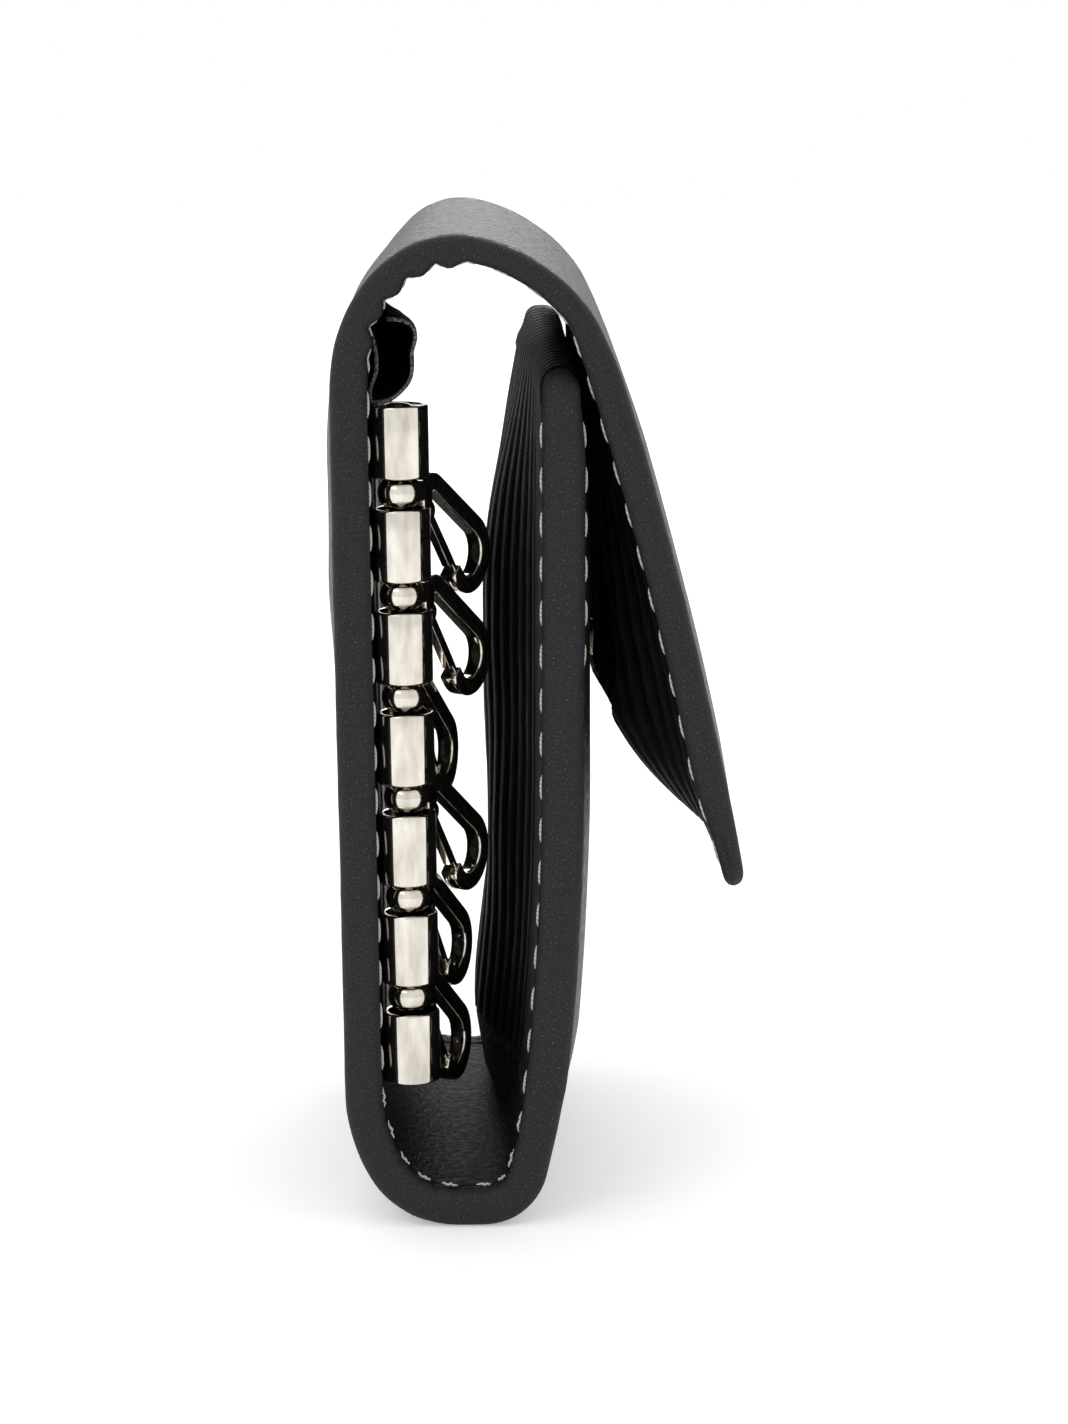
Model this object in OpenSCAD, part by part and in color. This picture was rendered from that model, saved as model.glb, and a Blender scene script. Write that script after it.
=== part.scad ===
// Six-hook key case: one leather wrap folded round a foot and a top fold, its flap let down
// over the front panel, with a pinned key rail on the back panel and a snap on the flap.
// The wrap is one outline that runs down the front, round the foot, up the back, over the
// top fold and down the flap. Every leather, board and lining piece is a strip of that line.

/* [Case] */
// Depth of the case, from its open near end to its far end
case_depth = 65; // [60:1:80]
// Straight upper stretch of the front panel
front_flat = 44; // [40:1:46]
// Long shallow curve of the front panel above the foot
front_sweep = 37; // [34:1:40]
// Short curve where the front panel meets the toe
front_foot = 8; // [7:0.5:9]
// Length of the tight curve at the toe
toe = 9.3; // [8.7:0.2:9.9]
// Flat that the case stands on
floor_flat = 3.2; // [2.8:0.2:4]
// Length of the tight curve at the heel
heel = 11.3; // [10.9:0.2:11.9]
// Short curve where the heel meets the back panel
back_foot = 10.2; // [9.6:0.2:10.8]
// Straight stretch of the back panel
back_flat = 81.2; // [80:0.4:83]
// Rising curve of the top fold
fold_rise = 24.4; // [24:0.2:26]
// Sloping curve of the top fold
fold_slope = 13.4; // [13:0.2:14.4]
// Last short curve of the top fold, above the flap
fold_brow = 3.9; // [3.7:0.1:4.5]
// Length of the flap below the top fold
flap_len = 62.5; // [58:0.5:64]

/* [Leather] */
// Thickness of the front, foot and back, through leather, board and lining
panel_t = 4; // [3.8:0.1:4.3]
// Thickness of the top fold and the flap
fold_t = 3.4; // [3.2:0.1:3.6]
// Thickness of the outer leather
leather_t = 1.3; // [1.1:0.1:1.4]
// Thickness of the stiffener boards
board_t = 1.2; // [1.1:0.1:1.3]
// Width of the turned leather edge round each lining
edge_w = 4; // [3.6:0.2:5]
// Radius of the corners of the front panel and the flap
corner_r = 3; // [1.5:0.5:4]

/* [Stitching] */
// Length of one stitch
stitch_len = 2.8; // [2:0.2:3.4]
// Distance between stitches
stitch_pitch = 4.8; // [4.4:0.2:6]
// Width of the thread
thread_w = 0.4; // [0.3:0.05:0.6]
// Height of a stitch above the leather
thread_h = 0.22; // [0.12:0.02:0.3]
// Distance from the leather's edge to the stitching
stitch_inset = 2.4; // [1.8:0.2:3]

/* [Key rail] */
// Outer diameter of the rolled tube
tube_d = 6.4; // [6.1:0.1:6.5]
// Wall of the rolled tube
tube_wall = 0.65; // [0.6:0.05:0.65]
// Length of each knuckle between two hooks
knuckle_len = 7.8; // [7.7:0.1:8]
// Length of each slot that holds a hook's ring
slot_len = 3.35; // [3.3:0.05:3.5]
// Distance from the open near end to the tube's centre
rail_inset = 4.6; // [4.4:0.2:6]
// Thickness of the rail's fixing plate
plate_t = 0.7; // [0.6:0.05:0.8]
// Width of the rail's fixing plate, from the tube's centre
plate_w = 10; // [9:0.5:12]
// Diameter of the pin that carries the hooks
pin_d = 2.4; // [2.2:0.1:2.5]
// Height of the rail's middle above the middle of the straight back
rail_rise = -2.6; // [-2.8:0.1:-2]

/* [Hooks] */
// Height of a hook's ring
ring_h = 3; // [2.6:0.1:3.1]
// Outer diameter of a hook's ring
ring_d = 4.9; // [4.6:0.1:5]
// Length of a hook's loop
loop_len = 17.4; // [16.8:0.2:17.8]
// Width of the loop at its far end
loop_w = 9; // [8.6:0.1:9.2]
// Width of the loop at its root
root_w = 5.4; // [5.2:0.1:5.8]
// Width of the metal round the loop
wire_w = 2; // [1.8:0.1:2.1]
// Thickness of a hook across its flat sides
hook_t = 2.1; // [2:0.1:2.3]
// Width of a spring gate across the hook
gate_t = 1.1; // [0.9:0.1:1.2]
// Diameter of a gate's rivet
rivet_d = 0.9; // [0.8:0.05:1]

/* [Snap] */
// Outer diameter of the stud's flange
stud_flange_d = 8; // [7:0.5:9]
// Diameter of the stud's head
stud_head_d = 4.2; // [3.8:0.2:4.4]
// Height of the stud above the front panel
stud_h = 1.5; // [1.3:0.1:1.6]
// Outer diameter of the socket
socket_d = 11; // [10:0.5:12]
// Height that the socket stands off the flap's lining
socket_rise = 0.5; // [0.4:0.1:0.6]
// Height of the snap above the floor
snap_z = 60.5; // [58:0.5:62]

/* [Pocket] */
// Thickness of the pocket's fabric
pocket_t = 0.8; // [0.6:0.1:1]
// Length of the pocket's bulge, up the back panel
pocket_len = 8.6; // [8.4:0.1:8.8]
// How far the pocket stands off the back lining
pocket_bulge = 4.2; // [3.8:0.2:4.4]
// Length of the pocket into the case
pocket_depth = 36; // [30:1:44]

/* [Hidden] */
$fn = 48;
DEG = 180 / PI;
HOOKS = 6;
// Extra length by which a cutting shape runs past what it cuts
cut = 0.5;
// Half of the gap between two leather pieces at a fold's outer line
crease_gap = 0.05;
// Share of the depth by which a crease opens to each side, so that the fold can close
crease_share = 0.065;
// Radial clearance of a ring on the pin and of a gate on its rivet
run_clear = 0.04;
// Gap left beside a part that swings past a fixed one
swing_gap = 0.15;
lining_d = leather_t + board_t;
near_y = -case_depth / 2;
far_y = case_depth / 2;
in_near = near_y + edge_w;
in_far = far_y - edge_w;

leather_colour = [0.05, 0.05, 0.055];
lining_colour = [0.11, 0.11, 0.12];
board_colour = [0.45, 0.4, 0.33];
thread_colour = [0.62, 0.62, 0.6];
nickel_colour = [0.8, 0.76, 0.68];

// Turns of the outline's curves, clockwise, in degrees
sweep_turn = 6.5;
foot_turn = 8.5;
toe_turn = 75;
heel_turn = 60;
back_foot_turn = 29.2;
rise_turn = 105.8;
slope_turn = 35;
brow_turn = 22;
flap_turn = 7.5;
runs = [
    [front_flat, 0], [front_sweep, sweep_turn], [front_foot, foot_turn], [toe, toe_turn],
    [floor_flat, 0], [heel, heel_turn], [back_foot, back_foot_turn], [back_flat, 0],
    [fold_rise, rise_turn], [fold_slope, slope_turn], [fold_brow, brow_turn],
    [flap_len, flap_turn]
];

// Distance along the outline, and pose [x, z, heading] after a run of a length and a turn
function run_start(i) = i <= 0 ? 0 : run_start(i - 1) + runs[i - 1][0];
function after(p, len, turn) = turn == 0
    ? [p.x + len * cos(p.z), p.y + len * sin(p.z), p.z]
    : let (r = len * DEG / turn, b = p.z - turn)
      [p.x + r * (sin(p.z) - sin(b)), p.y - r * (cos(p.z) - cos(b)), b];
function knot_pose(i) = i == 0
    ? [0, 0, 180 + sweep_turn + foot_turn + toe_turn]
    : after(knot_pose(i - 1), runs[i - 1][0], runs[i - 1][1]);
knots = [for (i = [0:len(runs)]) knot_pose(i)];
starts = [for (i = [0:len(runs)]) run_start(i)];
function run_of(s) = max([for (i = [0:len(runs) - 1]) if (i == 0 || starts[i] <= s) i]);
function pose(s) = let (i = run_of(s), share = (s - starts[i]) / runs[i][0])
    after(knots[i], s - starts[i], runs[i][1] * share);

front_end = starts[2];
foot_start = starts[4];
back_start = starts[7];
fold_start = starts[8];
slope_start = starts[9];
brow_start = starts[10];
flap_start = starts[11];
tip_s = starts[12];

// The wrap's widest places, which centre it on the origin, with its foot at height zero
wide_s = fold_start + fold_rise * (knots[8].z - 90) / rise_turn;
shift_x = -(pose(wide_s).x + pose(tip_s).x) / 2;
shift_z = -knots[4].y;
function inward(h) = [sin(h), -cos(h)];
// Point [x, z] on the wrap at station s and depth d from the outer face
function at(s, d) = let (p = pose(s)) [p.x + shift_x, p.y + shift_z] + d * inward(p.z);

// Stations where the outline has a corner: the ends of runs, and steps along the curves
step_turn = 9;
step_len = case_depth / 20;
function steps(i) = runs[i][1] == 0 ? 1
    : max(ceil(runs[i][1] / step_turn), ceil(runs[i][0] / step_len));
marks = [for (i = [0:len(runs) - 1]) for (k = [0:steps(i) - 1])
    starts[i] + k * runs[i][0] / steps(i)];
function between(a, b) = [for (m = marks) if (m > a + crease_gap && m < b - crease_gap) m];
function line(a, b, d) = [for (s = concat([a], between(a, b), [b])) at(s, d)];
function crease(d) = crease_gap + d * crease_share;
// Points along an arc, from angle a0 to angle a1 in n steps
function arc(c, r, a0, a1, n) = [for (k = [0:n]) let (a = a0 + (a1 - a0) * k / n)
    c + r * [cos(a), sin(a)]];
function reversed(v) = [for (i = [len(v) - 1:-1:0]) v[i]];

// Strip of the wrap between stations a and b and depths d0 and d1; ka and kb are 1 at a crease
module strip(a, b, d0, d1, y0, y1, ka = 0, kb = 0) {
    outer = line(a + ka * crease(d0), b - kb * crease(d0), d0);
    inner = line(a + ka * crease(d1), b - kb * crease(d1), d1);
    translate([0, y1, 0]) rotate([90, 0, 0]) linear_extrude(y1 - y0)
        polygon(concat(outer, reversed(inner)));
}
// Local frame on the wrap: X inward from the outer face, Z along the outline
module on_wrap(s, y = 0) {
    p = at(s, 0);
    translate([p.x, y, p.y]) rotate([0, 90 - pose(s).z, 0]) children();
}
// Disc or hole square to the wrap, between depths x0 and x1
module stud_disc(r, x0, x1) translate([x0, 0, 0]) rotate([0, 90, 0]) cylinder(r = r, h = x1 - x0);

// Creases: one in the foot and four in the top fold
hinge_foot = foot_start + floor_flat / 2;
fold_turn = rise_turn + slope_turn + brow_turn;
// Shares of the top fold's turn at which its four creases lie
crease_shares = [0.125, 0.375, 0.615, 0.86];
function turn_station(t) = t < rise_turn ? fold_start + fold_rise * t / rise_turn
    : t < rise_turn + slope_turn ? slope_start + fold_slope * (t - rise_turn) / slope_turn
    : brow_start + fold_brow * (t - rise_turn - slope_turn) / brow_turn;
hinges = [for (q = crease_shares) turn_station(fold_turn * q)];

// Stations of the boards and linings, inside the turned edges
front_in = [edge_w, front_end];
back_in = [back_start, fold_start - edge_w / 2];
flap_in = [flap_start + edge_w / 2, tip_s - edge_w];

// Layers of a panel: a recess in the leather, the board in it, and the lining over the board
module recess(span, t) strip(span[0], span[1], leather_t, t + cut, in_near, in_far);
module board(span) color(board_colour)
    strip(span[0], span[1], leather_t, lining_d, in_near, in_far);
module lining(span, t) color(lining_colour)
    strip(span[0], span[1], lining_d, t, in_near, in_far);

// Key rail on the straight back
rail_s = back_start + back_flat / 2 + rail_rise;
rail_len = (HOOKS + 1) * knuckle_len + HOOKS * slot_len;
hook_pitch = knuckle_len + slot_len;
tube_r = tube_d / 2;
axis_x = panel_t + plate_t + swing_gap + ring_d / 2;
axis_y = near_y + rail_inset;
// How far the plate reaches past the tube's centre, towards the near end
plate_lap = 1.8;
rail_rivet_share = 0.68;
rail_rivet_y = axis_y + plate_w * rail_rivet_share;
rail_rivet_z = (rail_len - knuckle_len) / 2;
rail_shank_r = 0.9;
rail_head_r = 1.6;
rail_head_t = 0.45;
washer_r = 2.4;
washer_t = 0.5;
module on_back(y = 0) on_wrap(rail_s, y) children();
module at_rail_rivets() for (side = [-1, 1]) on_back(rail_rivet_y)
    translate([0, 0, side * rail_rivet_z]) children();

// Snap: the stud's post is set in the front board, the socket's cap in the flap board
snap_s = knots[0].y + shift_z - snap_z;
post_r = 1.1;
post_base_t = 0.6;
flange_t = 0.5;
stud_neck_r = stud_head_d / 2 - swing_gap;
stud_lip = 0.5;
cap_t = 0.6;
// Depth to which the snap's parts are pressed into the layer that they seat on
seat = 0.1;
socket_r = socket_d / 2;
// Clearance of the stud's head in the socket, so that the flap can swing over it
snap_clear = 0.45;
socket_bore_r = stud_head_d / 2 + snap_clear;
socket_floor = 0.3;
// Turn of each crease that closes the flap, and the share of it that the foot follows with
close_turn = 3.2;
foot_share = 0.6;
function turned(p, c, a) = let (v = p - c)
    c + [v.x * cos(a) - v.y * sin(a), v.x * sin(a) + v.y * cos(a)];
stud_closed = turned(at(snap_s, -stud_h / 2), at(hinge_foot, 0), close_turn * foot_share);
function unfold(p, i) = i == len(hinges) ? p
    : unfold(turned(p, at(hinges[i], 0), close_turn), i + 1);
stud_on_flap = unfold(stud_closed, 0);
function slide_to(s, p, n) = n == 0 ? s
    : let (q = at(s, fold_t), h = pose(s).z)
      slide_to(s + (p - q) * [cos(h), sin(h)], p, n - 1);
socket_s = slide_to(flap_start + flap_len / 2, stud_on_flap, 3);

module front_leather() color(leather_colour) difference() {
    strip(0, hinge_foot, 0, panel_t, near_y, far_y, 0, 1);
    recess(front_in, panel_t);
    on_wrap(snap_s) stud_disc(post_r, -cut, leather_t + cut);
    round_corners(corner_r, -1);
}
// Cut that rounds the sheet's two corners at its end: side -1 for the front's top, 1 for
// the flap's tip
module round_corners(s, side) for (e = [-1, 1])
    on_wrap(s, e * (far_y - corner_r)) translate([-cut, 0, 0])
        rotate([90, 0, 90]) linear_extrude(panel_t + cut * 2) polygon([for (p = concat(
            arc([0, 0], corner_r, 0, 90, 5),
            [[0, corner_r + cut], [corner_r + cut, corner_r + cut], [corner_r + cut, 0]]
        )) [p.x * e, p.y * side]]);
module front_board() difference() {
    board(front_in);
    color(board_colour) on_wrap(snap_s) {
        stud_disc(post_r, leather_t - cut, lining_d + cut);
        stud_disc(stud_flange_d / 2, lining_d - post_base_t, lining_d + cut);
    }
}
module front_lining() lining(front_in, panel_t);

module back_leather() color(leather_colour) difference() {
    union() {
        strip(hinge_foot, fold_start, 0, panel_t, near_y, far_y, 1, 0);
        strip(fold_start, hinges[0], 0, fold_t, near_y, far_y, 0, 1);
    }
    recess(back_in, panel_t);
}
module back_board() color(board_colour) difference() {
    board(back_in);
    at_rail_rivets() {
        stud_disc(rail_shank_r, leather_t - cut, lining_d + cut);
        stud_disc(washer_r, leather_t - cut, leather_t + washer_t);
    }
}
module back_lining() color(lining_colour) difference() {
    lining(back_in, panel_t);
    at_rail_rivets() stud_disc(rail_shank_r, lining_d - cut, panel_t + cut);
}
// Slip pocket: a fabric bulge above the rail, open at its near and far ends
pocket_gap = 0.3;
pocket_base = rail_len / 2 + pocket_gap;
pocket_r = (pocket_len * pocket_len / 4 + pocket_bulge * pocket_bulge) / (2 * pocket_bulge);
module back_pocket() color(lining_colour) difference() {
    on_back(in_near + pocket_depth) translate([panel_t, 0, pocket_base + pocket_len / 2])
        rotate([90, 0, 0]) linear_extrude(pocket_depth) intersection() {
            translate([pocket_bulge - pocket_r, 0]) difference() {
                circle(r = pocket_r);
                circle(r = pocket_r - pocket_t);
            }
            translate([0, -pocket_r]) square([pocket_r * 2, pocket_r * 2]);
        }
    strip(fold_start, hinges[0] + fold_t, 0, fold_t, near_y, far_y);
}

module fold_leather(i) color(leather_colour) {
    strip(hinges[i], hinges[i + 1], 0, leather_t, near_y, far_y, 1, 1);
    strip(hinges[i], hinges[i + 1], leather_t, fold_t, near_y, in_near, 1, 1);
    strip(hinges[i], hinges[i + 1], leather_t, fold_t, in_far, far_y, 1, 1);
}
module fold_lining(i) color(lining_colour)
    strip(hinges[i], hinges[i + 1], leather_t, fold_t, in_near, in_far, 1, 1);

module flap_leather() color(leather_colour) difference() {
    strip(hinges[3], tip_s, 0, fold_t, near_y, far_y, 1, 0);
    recess(flap_in, fold_t);
    on_wrap(socket_s) stud_disc(socket_r, leather_t - seat, leather_t + cap_t);
    round_corners(tip_s - corner_r, 1);
}
module flap_board() color(board_colour) difference() {
    board(flap_in);
    on_wrap(socket_s) {
        stud_disc(post_r, leather_t - cut, lining_d + cut);
        stud_disc(socket_r, leather_t - cut, leather_t - seat + cap_t);
        stud_disc(socket_r, lining_d - seat, lining_d + cut);
    }
}
module flap_lining() color(lining_colour) difference() {
    lining(flap_in, fold_t);
    on_wrap(socket_s) stud_disc(socket_r, lining_d - cut, fold_t + cut);
}

// Stitches, each one bar on the leather: rows along the wrap and rows across it
stitch_y = [near_y + stitch_inset, far_y - stitch_inset];
function row(a, b) = let (n = floor((b - a) / stitch_pitch))
    [for (k = [0:n]) (a + b) / 2 + (k - n / 2) * stitch_pitch];
module rows_along(a, b, x) for (y = stitch_y) for (s = row(a, b)) on_wrap(s, y)
    translate([x, -thread_w / 2, -stitch_len / 2]) cube([thread_h, thread_w, stitch_len]);
module row_across(s, x) for (y = row(in_near, in_far)) on_wrap(s, y)
    translate([x, -stitch_len / 2, -thread_w / 2]) cube([thread_h, stitch_len, thread_w]);
front_rows = [edge_w + stitch_len / 2, front_end];
back_rows = [back_start + stitch_len / 2, fold_start - edge_w];
flap_rows = [flap_start + edge_w, tip_s - edge_w - stitch_len / 2];
module front_stitching() color(thread_colour) {
    rows_along(front_rows[0], front_rows[1], panel_t);
    row_across(stitch_inset, panel_t);
}
module front_outer_stitching() color(thread_colour) {
    rows_along(front_rows[0], front_rows[1], -thread_h);
    row_across(stitch_inset, -thread_h);
}
module back_stitching() color(thread_colour)
    rows_along(back_rows[0], back_rows[1], panel_t);
module flap_stitching() color(thread_colour) {
    rows_along(flap_rows[0], flap_rows[1], fold_t);
    row_across(tip_s - stitch_inset, fold_t);
}
module flap_outer_stitching() color(thread_colour) {
    rows_along(flap_rows[0], flap_rows[1], -thread_h);
    row_across(tip_s - stitch_inset, -thread_h);
}

// Rolled strip: a plate that carries seven hollow knuckles, the end ones closed by a wall
// that holds the pin
module rail_bore(r, z0, z1) translate([axis_x, 0, z0]) cylinder(r = r, h = z1 - z0);
module key_rail() color(nickel_colour) on_back(axis_y) difference() {
    union() {
        translate([panel_t, -plate_lap, -rail_len / 2])
            cube([plate_t, plate_w + plate_lap, rail_len]);
        for (k = [0:HOOKS]) rail_bore(tube_r, knuckle_z(k), knuckle_z(k) + knuckle_len);
    }
    for (k = [0:HOOKS]) rail_bore(tube_r - tube_wall,
        knuckle_z(k) + (k == HOOKS ? tube_wall : -cut),
        knuckle_z(k) + knuckle_len + (k == 0 ? -tube_wall : cut));
    rail_bore(pin_d / 2, -rail_len / 2 - cut, -rail_len / 2 + tube_wall + cut);
    rail_bore(pin_d / 2, rail_len / 2 - tube_wall - cut, rail_len / 2 + cut);
    for (side = [-1, 1]) translate([0, rail_rivet_y - axis_y, side * rail_rivet_z])
        stud_disc(rail_shank_r, panel_t - cut, panel_t + plate_t + cut);
}
// Height of the low end of knuckle k, counted from the top, and of the middle of slot k
function knuckle_z(k) = rail_len / 2 - knuckle_len - k * hook_pitch;
function slot_z(k) = ((HOOKS - 1) / 2 - k) * hook_pitch;
module rail_pin() color(nickel_colour) on_back(axis_y)
    translate([axis_x, 0, -rail_len / 2]) cylinder(d = pin_d, h = rail_len);
module rail_rivets() color(nickel_colour) at_rail_rivets() {
    stud_disc(rail_shank_r, leather_t, panel_t + plate_t);
    stud_disc(rail_head_r, panel_t + plate_t, panel_t + plate_t + rail_head_t);
}
module rail_washers() color(nickel_colour) at_rail_rivets() difference() {
    stud_disc(washer_r, leather_t, leather_t + washer_t);
    stud_disc(rail_shank_r, leather_t - cut, leather_t + washer_t + cut);
}

// Hook: a ring on the pin, a short neck, and a pear-shaped loop that droops from the neck.
// Its loop is drawn flat: x runs away from the rail, y up, with the loop's small end first.
loop_droops = [42, 44, 44, 44, 44, 44];
rest_swings = [28, 28, 15, 26, 19, 18];
// Distance from the tube to the point that the loop droops from
neck_reach = 1.5;
neck_x = tube_r + neck_reach;
neck_top_share = 0.3;
neck_low_share = 0.42;
neck_top = ring_h * neck_top_share;
neck_low = ring_h * neck_low_share;
root_r = root_w / 2;
end_r = loop_w / 2;
// Shares of the wire's width: the root's reach back past the droop point, the neck's reach
// into the root, the gate's start and end, the nose's lap under the gate, and the gate's eye
root_share = 0.4;
neck_lap_share = 0.3;
gate_start_share = 0.2;
gate_end_share = 0.3;
nose_lap_share = 0.6;
eye_share = 0.47;
root_x = root_r - wire_w * root_share;
end_x = loop_len - end_r;
loop_gap = end_x - root_x;
flare = asin((end_r - root_r) / loop_gap);
// Outline of the pear at a distance w inside its outer edge
module pear(w) translate([root_x, 0]) polygon(concat(
    arc([loop_gap, 0], end_r - w, -90 - flare, 90 + flare, 16),
    arc([0, 0], root_r - w, 90 + flare, 270 - flare, 12)
));
// Frame of the gate: origin on its rivet, x along the gate towards the nose, y into the loop
gate_start = wire_w * gate_start_share;
gate_len = loop_gap * cos(flare) - gate_start - wire_w * gate_end_share;
nose_lap = wire_w * nose_lap_share;
eye_r = wire_w * eye_share;
// Shares of the wire's width: the gate's back and breadth, its nose's back and breadth, and
// the back, breadth and length of the opening cut for the gate in the root
gate_back_share = 0.2;
gate_breadth_share = 0.6;
nose_back_share = 0.06;
nose_breadth_share = 0.34;
root_cut_back_share = 0.3;
root_cut_breadth_share = 1.4;
root_cut_len_share = 1.4;
module gate_frame() translate([root_x, 0])
    translate((root_r - wire_w / 2) * [-sin(flare), -cos(flare)])
    rotate(-flare) translate([gate_start, 0]) children();
module loop_body() difference() {
    pear(0);
    pear(wire_w);
    gate_frame() {
        translate([eye_r + swing_gap, -wire_w])
            square([gate_len - eye_r - swing_gap - nose_lap, wire_w * 2]);
        translate([gate_len / 2, 0]) square([gate_len / 2 + swing_gap, wire_w]);
    }
}
module gate_shape() {
    circle(r = eye_r);
    translate([0, -wire_w * gate_back_share])
        square([gate_len - nose_lap, wire_w * gate_breadth_share]);
    translate([0, wire_w * nose_back_share])
        square([gate_len - swing_gap, wire_w * nose_breadth_share]);
}
// Flat drawing to the hook's upright plane, at the droop of hook k
module upright(t) rotate([90, 0, 90]) translate([0, 0, -t / 2]) linear_extrude(t) children();
module drooped(k) translate([neck_x, 0]) rotate(-loop_droops[k]) children();
module at_hook(k) on_back(axis_y) translate([axis_x, 0, slot_z(k)])
    rotate([0, 0, -rest_swings[k]]) children();
module hook(k) color(nickel_colour) at_hook(k) difference() {
    union() {
        translate([0, 0, -ring_h / 2]) cylinder(d = ring_d, h = ring_h);
        upright(hook_t) translate([pin_d / 2 + swing_gap, -neck_low])
            square([neck_x - pin_d / 2 + wire_w * neck_lap_share, neck_low + neck_top]);
        upright(hook_t) drooped(k) loop_body();
    }
    translate([0, 0, -ring_h / 2 - cut])
        cylinder(r = pin_d / 2 + run_clear, h = ring_h + cut * 2);
    upright(gate_t + swing_gap * 2) drooped(k) gate_frame() {
        circle(r = eye_r + swing_gap);
        translate([0, -wire_w * root_cut_back_share])
            square(wire_w * [root_cut_len_share, root_cut_breadth_share]);
    }
    upright(hook_t + cut) drooped(k) gate_frame() circle(d = rivet_d);
}
module gate(k) color(nickel_colour) at_hook(k) difference() {
    upright(gate_t) drooped(k) gate_frame() gate_shape();
    upright(gate_t + cut) drooped(k) gate_frame() circle(r = rivet_d / 2 + run_clear);
}
module gate_rivet(k) color(nickel_colour) at_hook(k)
    upright(hook_t) drooped(k) gate_frame() circle(d = rivet_d);

module snap_stud() color(nickel_colour) on_wrap(snap_s) difference() {
    union() {
        stud_disc(stud_flange_d / 2, -flange_t, 0);
        stud_disc(stud_neck_r, -stud_h + stud_lip, 0);
        stud_disc(stud_head_d / 2, -stud_h, -stud_h + stud_lip);
    }
    stud_disc(post_r, -stud_h + stud_lip / 2, cut);
}
module snap_post() color(nickel_colour) on_wrap(snap_s) {
    stud_disc(post_r, -stud_h + stud_lip / 2, lining_d);
    stud_disc(stud_flange_d / 2, lining_d - post_base_t, lining_d);
}
module snap_socket() color(nickel_colour) on_wrap(socket_s) difference() {
    stud_disc(socket_r, lining_d - seat, fold_t + socket_rise);
    stud_disc(socket_bore_r, lining_d - seat + socket_floor, fold_t + socket_rise + cut);
    stud_disc(post_r, lining_d - cut, lining_d + cut);
}
module snap_cap() color(nickel_colour) on_wrap(socket_s) {
    stud_disc(socket_r, leather_t - seat, leather_t - seat + cap_t);
    stud_disc(post_r, leather_t - seat, lining_d - seat + socket_floor);
}

front_leather();
front_board();
front_lining();
front_stitching();
front_outer_stitching();
back_leather();
back_board();
back_lining();
back_stitching();
back_pocket();
flap_leather();
flap_board();
flap_lining();
flap_stitching();
flap_outer_stitching();
key_rail();
rail_pin();
rail_rivets();
rail_washers();
snap_stud();
snap_post();
snap_socket();
snap_cap();
fold_leather(0);  // top_fold_leather_1
fold_leather(1);  // top_fold_leather_2
fold_leather(2);  // top_fold_leather_3
fold_lining(0);  // top_fold_lining_1
fold_lining(1);  // top_fold_lining_2
fold_lining(2);  // top_fold_lining_3
hook(0);  // hook_1
hook(1);  // hook_2
hook(2);  // hook_3
hook(3);  // hook_4
hook(4);  // hook_5
hook(5);  // hook_6
gate(0);  // gate_1
gate(1);  // gate_2
gate(2);  // gate_3
gate(3);  // gate_4
gate(4);  // gate_5
gate(5);  // gate_6
gate_rivet(0);  // gate_rivet_1
gate_rivet(1);  // gate_rivet_2
gate_rivet(2);  // gate_rivet_3
gate_rivet(3);  // gate_rivet_4
gate_rivet(4);  // gate_rivet_5
gate_rivet(5);  // gate_rivet_6
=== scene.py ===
import math
import bmesh
import bpy
from mathutils import Matrix, Vector, noise

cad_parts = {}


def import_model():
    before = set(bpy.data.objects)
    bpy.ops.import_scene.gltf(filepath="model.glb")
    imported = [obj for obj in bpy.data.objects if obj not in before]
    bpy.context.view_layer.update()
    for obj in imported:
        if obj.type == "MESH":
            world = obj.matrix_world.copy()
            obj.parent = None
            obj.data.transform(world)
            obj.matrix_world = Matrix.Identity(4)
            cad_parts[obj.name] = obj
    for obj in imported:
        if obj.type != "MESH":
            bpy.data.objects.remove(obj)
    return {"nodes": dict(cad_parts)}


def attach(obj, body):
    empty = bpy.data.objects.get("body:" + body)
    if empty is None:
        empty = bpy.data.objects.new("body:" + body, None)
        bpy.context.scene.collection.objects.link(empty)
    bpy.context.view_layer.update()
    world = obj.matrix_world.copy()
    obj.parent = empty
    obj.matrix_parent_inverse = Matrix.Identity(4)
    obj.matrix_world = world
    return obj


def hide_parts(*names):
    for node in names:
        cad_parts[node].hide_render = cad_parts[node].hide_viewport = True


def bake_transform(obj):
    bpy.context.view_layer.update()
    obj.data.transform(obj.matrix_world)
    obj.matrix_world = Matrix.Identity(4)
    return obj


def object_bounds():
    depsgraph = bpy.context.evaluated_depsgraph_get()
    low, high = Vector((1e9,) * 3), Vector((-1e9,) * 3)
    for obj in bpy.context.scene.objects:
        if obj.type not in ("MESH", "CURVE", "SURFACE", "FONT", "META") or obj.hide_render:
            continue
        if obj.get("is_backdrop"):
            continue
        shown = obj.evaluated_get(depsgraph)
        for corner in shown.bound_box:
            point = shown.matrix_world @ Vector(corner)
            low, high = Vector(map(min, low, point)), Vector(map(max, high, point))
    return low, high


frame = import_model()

cad_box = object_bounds()

# Lengths are in millimetres until mesh() writes them in metres. The floor's side, the
# camera's clipping and the lamps' sizes and places are in metres
MM = 0.001

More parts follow.
